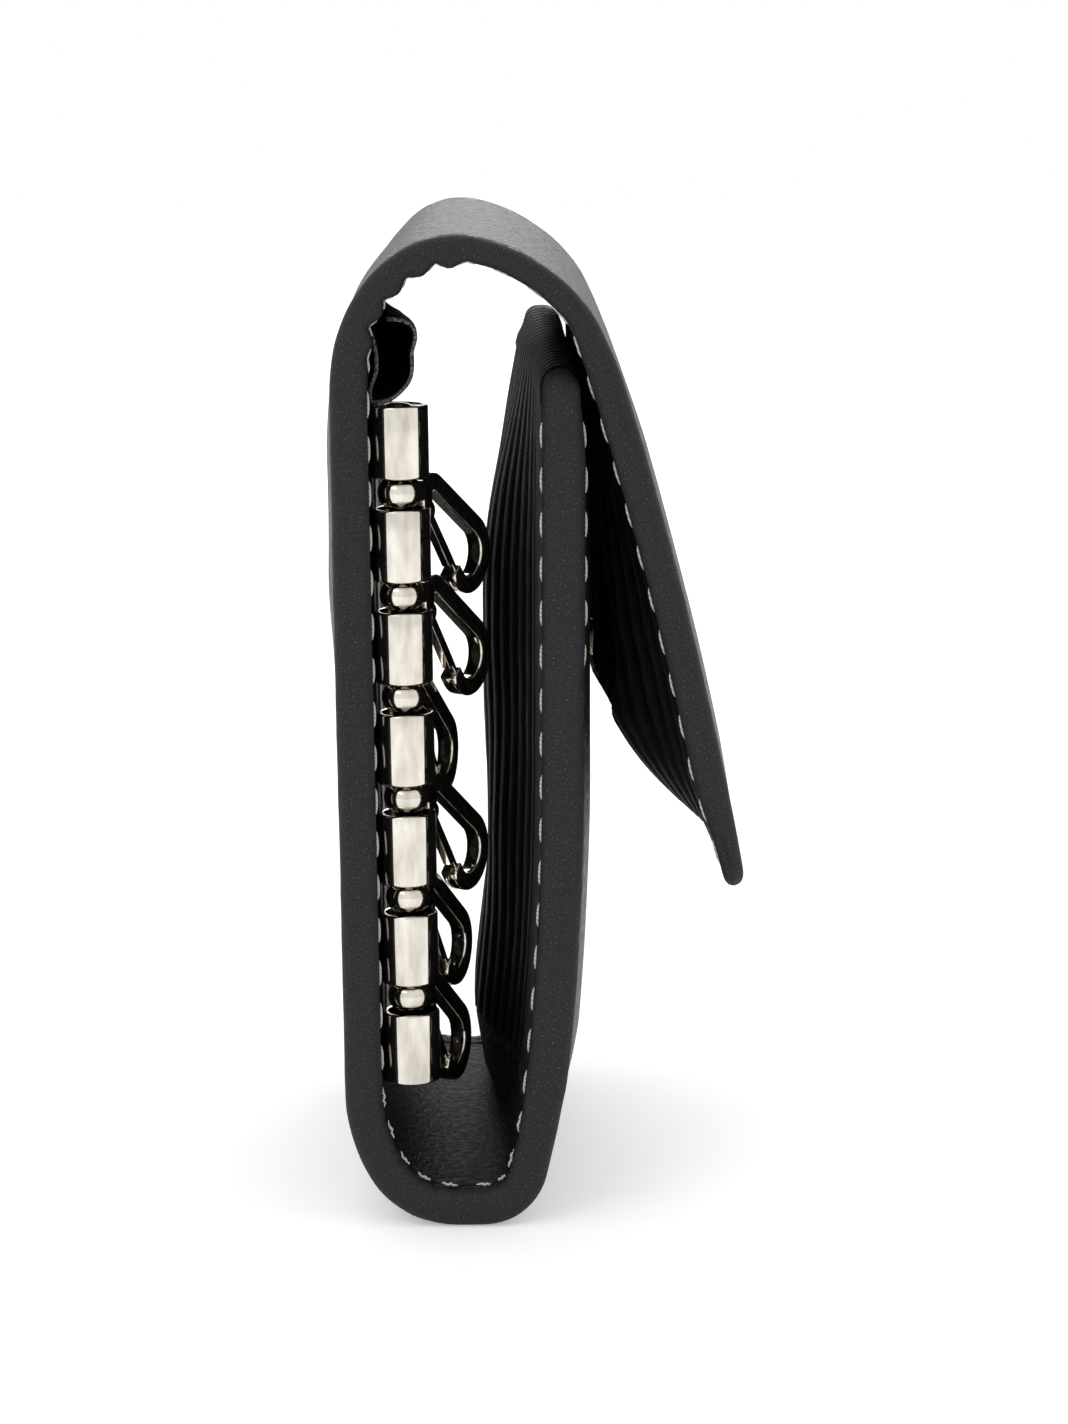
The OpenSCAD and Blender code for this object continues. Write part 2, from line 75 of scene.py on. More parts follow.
# The case: one leather wrap from the front panel's top (station 0), round the foot and up
# the back, over the top fold and down the flap to its tip
NEAR, FAR = -32.5, 32.5
DEPTH = FAR - NEAR
PANEL_T, FOLD_T = 4.0, 3.4
LEATHER_T, BOARD_T = 1.3, 1.2
EDGE_W = 4.0
IN_NEAR, IN_FAR = NEAR + EDGE_W, FAR - EDGE_W
CORNER_R, END_ROUND = 3.0, 1.9

# Runs of the wrap's outline, each a length and its turn in degrees, the foot's flat run and
# the top fold's first, and the stations at which front panel, foot, back and top fold end
RUNS = [
    (44, 0), (37, 6.5), (8, 8.5), (9.3, 75), (3.2, 0), (11.3, 60), (10.2, 29.2), (81.2, 0),
    (24.4, 105.8), (13.4, 35), (3.9, 22), (62.5, 7.5),
]
FOOT_RUN, FOLD_RUN = 4, 8
FRONT_END, FOOT_END, FOLD_START, FLAP_FLAT = (
    sum(length for length, _ in RUNS[:k]) for k in (2, 7, FOLD_RUN, 11))

# Stations of the creases, and of the cuts between the pieces that bend over them
CREASES = [208.89, 218.28, 227.29, 241.70]
FOLD_CUTS = [203.0, 213.6, 222.8, 234.5, 249.0]
FOOT_HINGE = 99.9
FOOT_CUTS = [89.0, 112.8]

# Stitches, the snap and the lining's ribs
STITCH_0, PITCH, INSET = 6.6, 4.8, 2.4
STITCH_LEN, STITCH_W, STITCH_H = 2.8, 0.38, 0.34
STUD_S, SOCKET_S, SOCKET_R = 33.54, 280.14, 5.4
RIB, RIB_H = 2.6, 0.16

# Zones of the wrap's section, in the order of the skin's materials; the last two share one
OUTER, EDGE, STRIP, RECESS = range(4)


def smooth(x):
    """Smooth step from 0 to 1."""
    x = min(max(x, 0.0), 1.0)
    return x * x * (3 - 2 * x)


def mix(a, b, t):
    return a + (b - a) * t


def arc_points(cx, cy, r, start, end, steps):
    """Points of an arc round cx, cy between two angles in degrees."""
    angles = (math.radians(mix(start, end, k / steps)) for k in range(steps + 1))
    return [(cx + r * math.cos(a), cy + r * math.sin(a)) for a in angles]


def circle(r, steps):
    """Points of a full circle round 0, 0."""
    return arc_points(0, 0, r, 0, 360, steps)[:-1]


def window(x, a, b, fade):
    """1 between a and b, falling to 0 over fade on both sides."""
    return smooth((x - a) / fade + 1) * smooth((b - x) / fade + 1)


def depth_share(y):
    """0 at the near edge and 1 at the far edge."""
    return (y - NEAR) / DEPTH


# The wrap's outline
EDGE_LIFT, LIFTED = 2.0, 24.0
TIP_THINNING, THIN_FROM, THIN_RUN = 1.1, 14.0, 13.0
EASE_FROM, EASE_RUN = 3.0, 8.0


def after(p, length, turn):
    """Pose (x, z and heading) at the end of a run that starts at pose p."""
    x, z, h = p
    if turn == 0:
        return x + length * math.cos(h), z + length * math.sin(h), h
    r = length / math.radians(turn)
    b = h - math.radians(turn)
    return x + r * (math.sin(h) - math.sin(b)), z - r * (math.cos(h) - math.cos(b)), b


def wrap_knots():
    """Station and pose at each run's start and at the tip."""
    p, s = (0.0, 0.0, math.radians(270)), 0.0
    knots = [(s, p)]
    for length, turn in RUNS:
        p, s = after(p, length, turn), s + length
        knots.append((s, p))
    return knots


KNOTS = wrap_knots()
TIP = KNOTS[-1][0]


def raw_pose(s):
    """Pose of the wrap's outer face at station s, before the shift."""
    s = min(max(s, 0.0), TIP)
    i = max(k for k in range(len(RUNS)) if KNOTS[k][0] <= s)
    start, p = KNOTS[i]
    length, turn = RUNS[i]
    return after(p, s - start, turn * (s - start) / length)


def wrap_shift():
    """Shift in x and z that centres the case between the back's widest point and the flap's
    tip, and stands the foot's flat run on the floor."""
    length, turn = RUNS[FOLD_RUN]
    heading = math.degrees(KNOTS[FOLD_RUN][1][2])
    wide = FOLD_START + length * (heading - 90) / turn
    return -(raw_pose(wide)[0] + raw_pose(TIP)[0]) / 2, -KNOTS[FOOT_RUN][1][1]


SHIFT = wrap_shift()


def at(s, d, y):
    """Point on the wrap at station s and depth d from the outer face. The front's free edge
    stands a little higher at its far end."""
    s -= EDGE_LIFT * depth_share(y) * smooth((LIFTED - s) / LIFTED)
    x, z, h = raw_pose(s)
    extra = s - min(max(s, 0.0), TIP)
    x += SHIFT[0] + d * math.sin(h) + extra * math.cos(h)
    z += SHIFT[1] - d * math.cos(h) + extra * math.sin(h)
    return Vector((x, y, z))


def wrap_frame(s, y, d=0.0):
    """Local frame on the wrap: X inward, Y deeper into the case, Z along the outline."""
    h = raw_pose(s)[2]
    m = Matrix.Identity(4)
    m.col[0] = (math.sin(h), 0, -math.cos(h), 0)
    m.col[2] = (math.cos(h), 0, math.sin(h), 0)
    m.col[3] = (*at(s, d, y), 1)
    return m


def panel_t(s):
    """The wrap's thickness: less from the top fold on, and less again at the flap's tip."""
    thinned = TIP_THINNING * smooth((s - TIP + THIN_FROM) / THIN_RUN)
    return mix(PANEL_T, FOLD_T, smooth((s - FOLD_START + EASE_FROM) / EASE_RUN)) - thinned


# How the soft case departs from the plain wrap
FRONT_LEAN, FRONT_LEAN_END, FRONT_LEAN_RUN = 1.2, FRONT_END + 12, 50
FLAP_LEAN, FLAP_LEAN_START = 3.0, 250
SHOULDER_S, SHOULDER_RUN, SHOULDER_NEAR, SHOULDER_MORE = 213.5, 8, 0.6, 1.5
# Swells inside the stitched edges: height, first and last station, fade
SWELLS = [(1.0, 16, 72, 12), (0.3, 140, 170, 16), (0.7, 180, 192, 12), (0.5, 260, 292, 14)]
SWELL_INSET, SWELL_FADE = 1.5, 9
FRONT_EDGE_SWELL, FOLD_THINNING, PANEL_WAVE, WAVE_LEN = 0.55, 0.75, 0.07, 11
BACK_SCALLOP, TOP_SCALLOP, SCALLOP_CHANGE = 0.85, 0.1, 224
PUCKER, PUCKER_WAVE, PUCKER_LEN = 0.2, 0.12, 1.4
RECESS_D, RECESS_FADE = 0.75, 0.3


def lean(s, y):
    """How far the soft case sits in from its plain outline: the front's and the flap's far
    ends lean in, and so does the back shoulder of the top fold."""
    share = depth_share(y)
    front = FRONT_LEAN * smooth((FRONT_LEAN_END - s) / FRONT_LEAN_RUN)
    down = min(max((s - FLAP_LEAN_START) / (TIP - FLAP_LEAN_START), 0.0), 1.0)
    flap = FLAP_LEAN * down * share
    shoulder = math.exp(-((s - SHOULDER_S) / SHOULDER_RUN) ** 2)
    return (front + flap + SHOULDER_MORE * shoulder) * share + SHOULDER_NEAR * shoulder


def belly(s, y):
    """The padded panels swell inside their stitched edges, the front's along its edge too,
    and the leather thins where it is stretched over the top fold."""
    across = smooth((y - NEAR - SWELL_INSET) / SWELL_FADE)
    across *= smooth((FAR - SWELL_INSET - y) / SWELL_FADE)
    swell = sum(height * window(s, a, b, fade) for height, a, b, fade in SWELLS)
    edge = FRONT_EDGE_SWELL * window(s, 10, 76, 9)
    edge -= FOLD_THINNING * window(s, FOLD_START + 5, FLAP_FLAT - 3, 9)
    waves = PANEL_WAVE * noise.noise(Vector((y / WAVE_LEN, s / WAVE_LEN, 0.5)))
    return swell * across + edge + waves


def scallop(s):
    """Leather gathered between the stitches inside the top fold, most at its back, and
    puckered in the foot."""
    fold = BACK_SCALLOP * window(s, FOLD_START + 2, SCALLOP_CHANGE, 6)
    fold += TOP_SCALLOP * window(s, SCALLOP_CHANGE, FLAP_FLAT, 6)
    rise = fold * abs(math.sin(math.pi * (s - STITCH_0) / PITCH)) ** 1.1
    foot = window(s, FRONT_END + 6, FOOT_END - 2, 8)
    fine = 0.5 + 0.5 * math.sin(s * 5.1 + 1.7 * math.sin(s * 1.3))
    uneven = noise.noise(Vector((s / PUCKER_LEN, 3.3, 0)))
    return rise + foot * (PUCKER * fine + PUCKER_WAVE * uneven)


def recess_depth(s):
    """The lining lies in a recess, on every panel but not in the foot."""
    front = window(s, EDGE_W, FRONT_END, RECESS_FADE)
    return RECESS_D * (front + window(s, FOOT_END, TIP - EDGE_W, RECESS_FADE))


def link(name, data):
    """Object with the given data, linked into the scene."""
    ob = bpy.data.objects.new(name, data)
    bpy.context.scene.collection.objects.link(ob)
    return ob


# Meshes
TURNED_STEPS, RING_STEPS, RIVET_STEPS = 56, 48, 24
BEVEL_FROM, BAR_TAPER, BAR_END = 30, 0.12, 0.82


def mesh(name, verts, faces, uvs=None):
    """Smooth object from points in millimetres."""
    me = bpy.data.meshes.new(name)
    me.from_pydata([Vector(v) * MM for v in verts], [], faces)
    if uvs:
        layer = me.uv_layers.new(name="UVMap")
        for i, uv in enumerate(uvs):
            layer.data[i].uv = (uv[0] * MM, uv[1] * MM)
    for p in me.polygons:
        p.use_smooth = True
    return link(name, me)


def dress(ob, materials):
    """Gives a piece its materials."""
    for m in materials:
        ob.data.materials.append(m)
    return ob


def sharpen(ob, degrees=35):
    """Keeps the edges that turn by more than an angle sharp."""
    ob.data.set_sharp_from_angle(angle=math.radians(degrees))
    return ob


def bevel(ob, width, segments):
    mod = ob.modifiers.new("bevel", "BEVEL")
    mod.width, mod.segments = width * MM, segments
    mod.limit_method, mod.angle_limit = "ANGLE", math.radians(BEVEL_FROM)
    mod.harden_normals = True
    return ob


def grid(name, rows, closed=False, caps=False, uv=None):
    """Mesh over rows of points; closed joins each row's ends, caps fills the first and last row."""
    n = len(rows[0])
    verts = [p for row in rows for p in row]
    faces, uvs = [], []
    for i in range(len(rows) - 1):
        for k in range(n if closed else n - 1):
            j = (k + 1) % n
            faces.append((i * n + k, i * n + j, (i + 1) * n + j, (i + 1) * n + k))
            if uv:
                uvs += [uv(i, k), uv(i, k + 1), uv(i + 1, k + 1), uv(i + 1, k)]
    if caps:
        faces.append(tuple(reversed(range(n))))
        faces.append(tuple((len(rows) - 1) * n + k for k in range(n)))
        if uv:
            uvs += [(0, 0)] * (2 * n)
    return mesh(name, verts, faces, uvs=uvs)


def rounded(w, h, r, steps=4):
    """Section of a bar w by h with corners of radius r."""
    pts = []
    for cx, cy, a0 in ((1, 1, 0), (-1, 1, 90), (-1, -1, 180), (1, -1, 270)):
        pts += arc_points(cx * (w / 2 - r), cy * (h / 2 - r), r, a0, a0 + 90, steps)
    return pts


def turned(name, profile, frame_of):
    """Round part: profile is (depth, radius) along the local X axis."""
    rows = []
    for x, r in profile:
        rows.append([frame_of @ Vector((x, u, v)) for u, v in circle(r, TURNED_STEPS)])
    return sharpen(grid(name, rows, closed=True, caps=True), 40)


def prism(name, outline, x0, x1, place):
    """Flat plate: an outline with a thickness from x0 to x1; place maps u, v, t to a point."""
    n = len(outline)
    verts = [place(u, v, x0) for u, v in outline] + [place(u, v, x1) for u, v in outline]
    faces = [tuple(reversed(range(n))), tuple(range(n, 2 * n))]
    faces += [(k, (k + 1) % n, n + (k + 1) % n, n + k) for k in range(n)]
    return sharpen(mesh(name, verts, faces))


# Materials
class Tree:
    """A node tree, with short calls to add and join its nodes."""

    def __init__(self, tree):
        self.nodes, self.links = tree.nodes, tree.links

    def set(self, node, values):
        for key, value in values.items():
            if isinstance(value, bpy.types.NodeSocket):
                self.links.new(value, node.inputs[key])
            else:
                node.inputs[key].default_value = value

    def add(self, kind, values=None, **settings):
        node = self.nodes.new(kind)
        for key, value in settings.items():
            setattr(node, key, value)
        self.set(node, values or {})
        return node

    def math(self, operation, *values):
        node = self.add("ShaderNodeMath", dict(enumerate(values)), operation=operation)
        return node.outputs[0]

    def seen(self):
        """1 for rays seen straight or in a gloss, and 0 for those that only give light."""
        path = self.add("ShaderNodeLightPath").outputs
        seen = self.math("MAXIMUM", path["Is Camera Ray"], path["Is Glossy Ray"])
        return self.math("MAXIMUM", seen, path["Is Transmission Ray"])


class Net(Tree):
    """A material with its nodes."""

    def __init__(self, name, colour, roughness, metallic=0.0, specular=0.5):
        self.mat = bpy.data.materials.new(name)
        self.mat.use_nodes = True
        self.mat.diffuse_color = (*colour, 1)
        super().__init__(self.mat.node_tree)
        self.shader = self.nodes["Principled BSDF"]
        self.set(self.shader, {
            "Base Color": (*colour, 1), "Roughness": roughness, "Metallic": metallic,
            "Specular IOR Level": specular,
        })

    def space(self, output, scale=(1, 1, 1)):
        """Texture space in millimetres, from UV or Object coordinates."""
        coord = self.add("ShaderNodeTexCoord").outputs[output]
        node = self.add("ShaderNodeMapping", {"Vector": coord})
        node.inputs["Scale"].default_value = [k / MM for k in scale]
        return node.outputs[0]

    def noise(self, vector, scale, detail=3.0):
        values = {"Vector": vector, "Scale": scale, "Detail": detail}
        return self.add("ShaderNodeTexNoise", values).outputs["Fac"]

    def ramp(self, value, stops):
        node = self.add("ShaderNodeValToRGB", {"Fac": value})
        node.color_ramp.elements[0].position = stops[0][0]
        node.color_ramp.elements[1].position = stops[-1][0]
        for place, _ in stops[1:-1]:
            node.color_ramp.elements.new(place)
        for element, (_, c) in zip(node.color_ramp.elements, stops):
            element.color = (*c, 1) if hasattr(c, "__len__") else (c, c, c, 1)
        return node.outputs["Color"]

    def bump(self, height, distance, strength=1.0, under=None):
        values = {"Height": height, "Distance": distance * MM, "Strength": strength}
        if under:
            values["Normal"] = under
        return self.add("ShaderNodeBump", values).outputs["Normal"]

    def done(self, colour=None, roughness=None, normal=None):
        values = {"Base Color": colour, "Roughness": roughness, "Normal": normal}
        self.set(self.shader, {k: v for k, v in values.items() if v is not None})
        return self.mat


def grained_leather(name, dark, light, rough, cell, depth, specular):
    """Satin leather: pebbled cells with soft creases and pores, and a slow drift in colour."""
    net = Net(name, dark, rough[0], specular=specular)
    space = net.space("UV")
    drift = net.noise(space, 0.55, 4.0)
    cells = net.add("ShaderNodeTexVoronoi", {"Vector": space, "Scale": cell})
    cells.feature = "SMOOTH_F1"
    creases = net.noise(space, 0.9, 6.0)
    pores = net.noise(space, 7.0, 2.0)
    height = net.math("MULTIPLY_ADD", cells.outputs["Distance"], -0.6, creases)
    normal = net.bump(height, depth, 0.9)
    normal = net.bump(pores, depth * 0.35, 0.5, under=normal)
    colour = net.ramp(drift, [(0.3, dark), (0.72, light)])
    return net.done(colour, net.ramp(creases, [(0.3, rough[0]), (0.7, rough[1])]), normal)


def outer_leather():
    return grained_leather("outer_leather", (0.008, 0.008, 0.009), (0.016, 0.016, 0.018),
                           (0.36, 0.5), 1.0, 0.6, 0.38)


def inner_leather():
    return grained_leather("inner_leather", (0.003, 0.003, 0.0035), (0.007, 0.007, 0.008),
                           (0.5, 0.7), 1.8, 0.2, 0.1)


def edge_paint():
    """Matte painted edge: very dark grey with fine pale specks and a slightly uneven coat."""
    net = Net("edge_paint", (0.036, 0.034, 0.040), 0.72, specular=0.3)
    space = net.space("UV")
    specks = net.noise(space, 4.6, 1.5)
    coat = net.noise(space, 0.7, 3.0)
    base = net.ramp(coat, [(0.3, (0.0095, 0.009, 0.0105)), (0.7, (0.019, 0.018, 0.0205))])
    dots = net.ramp(specks, [(0.6, 0.0), (0.76, 0.075)])
    both = net.add("ShaderNodeMix", {0: 1.0, 6: base, 7: dots}, data_type="RGBA",
                   blend_type="ADD").outputs[2]
    normal = net.bump(net.noise(space, 4.0, 3.0), 0.05, 0.6)
    return net.done(both, net.ramp(coat, [(0.3, 0.62), (0.7, 0.8)]), normal)


def ribbed_lining():
    """Ribbed textile: broad ribs that run up the panel, of fine twisted threads. Its colour is
    lighter on the ribs' tops and darker in the grooves between them, a painted sheen and painted
    shade.
    """
    net = Net("ribbed_lining", (0.009, 0.009, 0.010), 0.5, specular=0.13)
    space = net.space("UV")
    axes = net.add("ShaderNodeSeparateXYZ", {0: space})
    across, along = axes.outputs[0], axes.outputs[1]
    broad = net.math("PINGPONG", across, RIB / 2)
    thread = net.math("SINE", net.math("MULTIPLY", across, 2 * math.pi / 0.43))
    twist = net.math("SINE", net.math("MULTIPLY", net.math("ADD", along, across), 14.0))
    weave = net.math("MULTIPLY_ADD", twist, 0.35, thread)
    # The rib's profile times streaky noise sets the colour: painted sheen on the rib tops and
    # painted shade in the grooves
    painted_sheen = net.noise(net.space("UV", (3.0, 0.22, 1)), 1.0, 4.0)
    rib_painted_light = net.math("MULTIPLY", net.math("DIVIDE", broad, RIB / 2), painted_sheen)
    colour = net.ramp(rib_painted_light, [(0.1, (0.003, 0.003, 0.004)), (0.4, (0.011, 0.011, 0.012)),
                            (0.62, (0.028, 0.028, 0.030))])
    rough = net.ramp(rib_painted_light, [(0.1, 0.62), (0.6, 0.4)])
    ridges = net.bump(broad, 0.5, 0.8)
    return net.done(colour, rough, net.bump(weave, 0.07, 0.7, under=ridges))


def raw_edge():
    """Cut edge of the textile, where its pale fibres show."""
    net = Net("raw_edge", (0.10, 0.10, 0.105), 0.85, specular=0.2)
    fibres = net.noise(net.space("Object"), 5.0, 3.0)
    colour = net.ramp(fibres, [(0.38, (0.012, 0.012, 0.013)), (0.66, (0.22, 0.22, 0.225))])
    rough = net.ramp(fibres, [(0.3, 0.95), (0.7, 0.75)])
    return net.done(colour, rough, net.bump(fibres, 0.12, 0.9))


def sewing_thread():
    """Pale grey twisted thread."""
    net = Net("sewing_thread", (0.70, 0.69, 0.66), 0.6, specular=0.3)
    space = net.space("Object")
    plies = net.add("ShaderNodeTexWave", {"Vector": space, "Scale": 1.3, "Distortion": 0.6},
                    bands_direction="DIAGONAL").outputs["Fac"]
    colour = net.ramp(plies, [(0.1, (0.46, 0.45, 0.43)), (0.7, (0.78, 0.77, 0.74))])
    return net.done(colour, net.ramp(plies, [(0.0, 0.75), (1.0, 0.55)]),
                    net.bump(plies, 0.05, 0.8))


def polished_metal(name, dark, light, rough):
    """Plated metal with faint haze, a slightly uneven coat and a drift in tone."""
    net = Net(name, light, rough[0], metallic=1.0)
    space = net.space("Object")
    drift = net.noise(net.space("Object", (1.6, 1.6, 0.5)), 0.5, 3.0)
    haze = net.noise(space, 1.6, 5.0)
    normal = net.bump(net.noise(space, 0.8, 2.0), 0.008, 0.5)
    colour = net.ramp(drift, [(0.3, dark), (0.7, light)])
    return net.done(colour, net.ramp(haze, [(0.35, rough[0]), (0.75, rough[1])]), normal)


def stiff_board():
    """Pressed cardboard with fibres."""
    net = Net("stiff_board", (0.42, 0.36, 0.28), 0.85, specular=0.2)
    fibres = net.noise(net.space("Object", (1, 0.3, 2.0)), 3.0, 5.0)
    colour = net.ramp(fibres, [(0.3, (0.33, 0.28, 0.21)), (0.7, (0.47, 0.41, 0.32))])
    rough = net.ramp(fibres, [(0.3, 0.9), (0.7, 0.78)])
    return net.done(colour, rough, net.bump(fibres, 0.06, 0.7))


LEATHER, PAINT, INNER = outer_leather(), edge_paint(), inner_leather()
LINING, THREAD, BOARD = ribbed_lining(), sewing_thread(), stiff_board()
RAW_EDGE = raw_edge()
NICKEL = polished_metal("polished_nickel", (0.56, 0.52, 0.45), (0.80, 0.76, 0.69), (0.05, 0.14))
# Darker copy of the nickel for the rail plate: painted shade where the plate lies behind the tube,
# not a different metal
SHADED_NICKEL = polished_metal("nickel_painted_shade", (0.07, 0.065, 0.06), (0.12, 0.11, 0.10), (0.4, 0.55))
GOLD = polished_metal("pale_gold", (0.80, 0.70, 0.52), (0.88, 0.80, 0.66), (0.12, 0.22))


# Leather skin
OUT_R, IN_R = 1.5, 1.1
OUTER_STEPS, RECESS_STEPS = 30, 6
# Distance from the edge and rise of the turned leather round the inner row of stitches, and
# distance and depth of the groove for the outer row
TURNED_EDGE = [(3.3, 0.04), (2.9, 0.03), (2.62, -0.03), (INSET, -0.08), (2.18, -0.03),
               (1.8, 0.03), (1.3, 0.03)]
OUTER_GROOVE = [(1.8, 0.0), (2.1, 0.12), (INSET, 0.24), (2.7, 0.12), (3.0, 0.0)]
EDGE_SWELL, EDGE_WAVE, END_FALL = 0.04, 0.05, 0.75
# Rows close to a free end, where its rounding needs them, and the spacing of the others
END_MARKS, END_ZONE, STATION_STEP = [0.0, 0.1, 0.3, 0.6, 0.9, 1.25, 1.8, 2.4, 3.0], 3.2, 0.8


def near_side(t, deep):
    """The near edge's section from the recess out to the outer face: offset, depth, zone."""
    pts = [
        (EDGE_W + 0.35, t - deep, RECESS), (EDGE_W + 0.1, t - deep * 0.9, RECESS),
        (EDGE_W, t - deep * 0.3, STRIP), (EDGE_W - 0.3, t - 0.02, STRIP),
    ]
    pts += [(offset, t + rise, STRIP) for offset, rise in TURNED_EDGE]
    edge = arc_points(IN_R, t - IN_R, IN_R, 90, 180, 4)
    edge += [(-EDGE_SWELL, mix(t - IN_R, OUT_R, share)) for share in (0.3, 0.6)]
    edge += arc_points(OUT_R, OUT_R, OUT_R, 180, 270, 5)
    return pts + [(offset, d, EDGE) for offset, d in edge]


def section(s):
    """Closed section of the wrap at s, as points of y, depth and zone."""
    side = near_side(panel_t(s), recess_depth(s))
    ring = [(NEAR + o, d, OUTER) for o, d in OUTER_GROOVE]
    for k in range(2, OUTER_STEPS - 1):
        ring.append((mix(NEAR + OUT_R, FAR - OUT_R, k / OUTER_STEPS), 0.0, OUTER))
    ring += [(FAR - o, d, OUTER) for o, d in reversed(OUTER_GROOVE)]
    ring += [(FAR - o, d, zone) for o, d, zone in reversed(side)]
    a, b = FAR - side[0][0], NEAR + side[0][0]
    for k in range(1, RECESS_STEPS):
        ring.append((mix(a, b, k / RECESS_STEPS), side[0][1], RECESS))
    ring += [(NEAR + o, d, zone) for o, d, zone in side]
    return ring


def end_shape(s, y, d, t):
    """Rounds the sheet's corners and its end edges."""
    u = min(s, TIP - s)
    if u < CORNER_R:
        y *= 1 - (CORNER_R - math.sqrt(CORNER_R ** 2 - (CORNER_R - u) ** 2)) / FAR
    if u < END_ROUND:
        fall = 1 - math.sqrt(1 - (1 - u / END_ROUND) ** 2)
        d = mix(d, t / 2, END_FALL * fall)
    return y, d


def skin_point(s, y, d, zone):
    """Point of the soft leather for a point of its plain section."""
    t = panel_t(s)
    share = d / t
    if zone in (STRIP, EDGE):
        d += scallop(s) * smooth((share - 0.35) / 0.6)
    d -= belly(s, y) * (1 - share)
    if zone == EDGE:
        d += EDGE_WAVE * noise.noise(Vector((s / 2.5, d, 7.7)))
    if zone == RECESS and s < FOOT_END:
        d += loose_front(s, y) * smooth((s - FRONT_END + 3) / 3)
    y, d = end_shape(s, y, d, t)
    return at(s, d + lean(s, y), y)


def stations(a, b):
    """Stations of a skin's rows from a to b, closer together at a free end."""
    n = round((b - a) / STATION_STEP)
    marks = {round(mix(a, b, k / n), 4) for k in range(n + 1)}
    marks = {m for m in marks if END_ZONE < m < TIP - END_ZONE or m in (a, b)}
    marks |= {e for e in END_MARKS if a <= e <= b}
    marks |= {round(TIP - e, 4) for e in END_MARKS if a <= TIP - e <= b}
    return sorted(m for m in marks if a <= m <= b)


def skin(name, a, b):
    """One length of the leather wrap between stations a and b, capped at a free end."""
    marks = stations(a, b)
    rings = [section(s) for s in marks]
    n = len(rings[0])
    rows = [[skin_point(s, *p) for p in ring] for s, ring in zip(marks, rings)]
    arc, zones = [0.0], []
    for k in range(n):
        p, q = rings[0][k], rings[0][(k + 1) % n]
        arc.append(arc[-1] + math.hypot(q[0] - p[0], q[1] - p[1]))
        zones.append(max(p[2], q[2]))
    ob = grid(name, rows, closed=True, uv=lambda i, k: (arc[k], marks[i]))
    for i, face in enumerate(ob.data.polygons):
        face.material_index = zones[i % n]
    bm = bmesh.new()
    bm.from_mesh(ob.data)
    bm.verts.ensure_lookup_table()
    for end, first in ((a == 0.0, 0), (b == TIP, (len(marks) - 1) * n)):
        if end:
            cap = bm.faces.new([bm.verts[first + k] for k in range(n)])
            cap.material_index = EDGE
            cap.smooth = True
    bmesh.ops.recalc_face_normals(bm, faces=bm.faces)
    bm.to_mesh(ob.data)
    bm.free()
    return dress(ob, [LEATHER, PAINT, INNER, INNER])


# Linings
LINING_COLUMNS, LINING_GAP, LINING_WAVE = 132, 0.06, 0.05
# Slack and its wave, then its start, rise and far fade across the panel
FRONT_SLACK, FRONT_WAVE, FRONT_ACROSS = 5.0, 0.16, (-12, 22, 7)
FLAP_SLACK, FLAP_WAVE, FLAP_ACROSS = 7.6, 0.12, (-25, 20, 12)
# Its start and rise along the wrap, and how it ends
FRONT_FROM, FRONT_RISE, FRONT_STOP, FRONT_FALL = -6, 32, FRONT_END + 20, 22
FLAP_FROM, FLAP_RISE, HEM_RUN, HEM_POWER = 238, 16, 14, 0.55
CLEARANCE, LEVEL_STEPS = 0.4, 4
HELD_MARGIN, HELD_FADE, HOLE_LAP = 0.3, 8, 1.2
TOP_GAP, TOP_STEPS = 0.1, 4


def across(y, start, rise, fade):
    """Share of the slack at y, between its start and the far edge."""
    return smooth((y - start) / rise) * smooth((IN_FAR - y) / fade)


def uneven(s, y, seed, wave):
    """Slow waves round 1."""
    return 1 + wave * noise.noise(Vector((s / 17, y / 15, seed)))


def loose_front(s, y):
    """How far the front's lining and the foot's inner leather stand off, most in the far half."""
    along = smooth((s - FRONT_FROM) / FRONT_RISE) * smooth((FRONT_STOP - s) / FRONT_FALL)
    return FRONT_SLACK * along * across(y, *FRONT_ACROSS) * uneven(s, y, 2.2, FRONT_WAVE)


def room_to_front(s, y):
    """Distance along x from the flap's inner face to the front's outer face, at one height."""
    p = at(s, panel_t(s) + lean(s, y), y)
    level = 0.0
    for _ in range(LEVEL_STEPS):
        face = at(level, lean(level, y) - belly(level, y), y)
        level = max(0.0, level + face.z - p.z)
    return p.x - face.x


def loose_flap(s, y):
    """The flap's lining hangs loose against the front, except where the snap holds it."""
    hem = min(max((TIP - EDGE_W - s) / HEM_RUN, 0.0), 1.0) ** HEM_POWER
    past_socket = math.hypot(s - SOCKET_S, y) - SOCKET_R - HELD_MARGIN
    free = smooth(past_socket / HELD_FADE)
    hang = FLAP_SLACK * smooth((s - FLAP_FROM) / FLAP_RISE) * hem * uneven(s, y, 5.2, FLAP_WAVE)
    hang = max(0.0, min(hang, room_to_front(s, y) - CLEARANCE))
    return hang * across(y, *FLAP_ACROSS) * free


def slack(s, y):
    """How far the lining stands off its panel."""
    rest = LINING_WAVE * noise.noise(Vector((s / 5, y / 5, 9.1)))
    if s < FOOT_END:
        return loose_front(s, y) + rest
    return (loose_flap(s, y) if s > FOLD_CUTS[3] else 0.0) + rest


def ribs(y):
    """Height of the ribbed surface, 0 on a rib's top."""
    return RIB_H * abs(math.sin(math.pi * y / RIB)) ** 0.7 - RIB_H


def lining_point(s, y):
    return at(s, panel_t(s) + LINING_GAP + ribs(y) + slack(s, y) + lean(s, y), y)


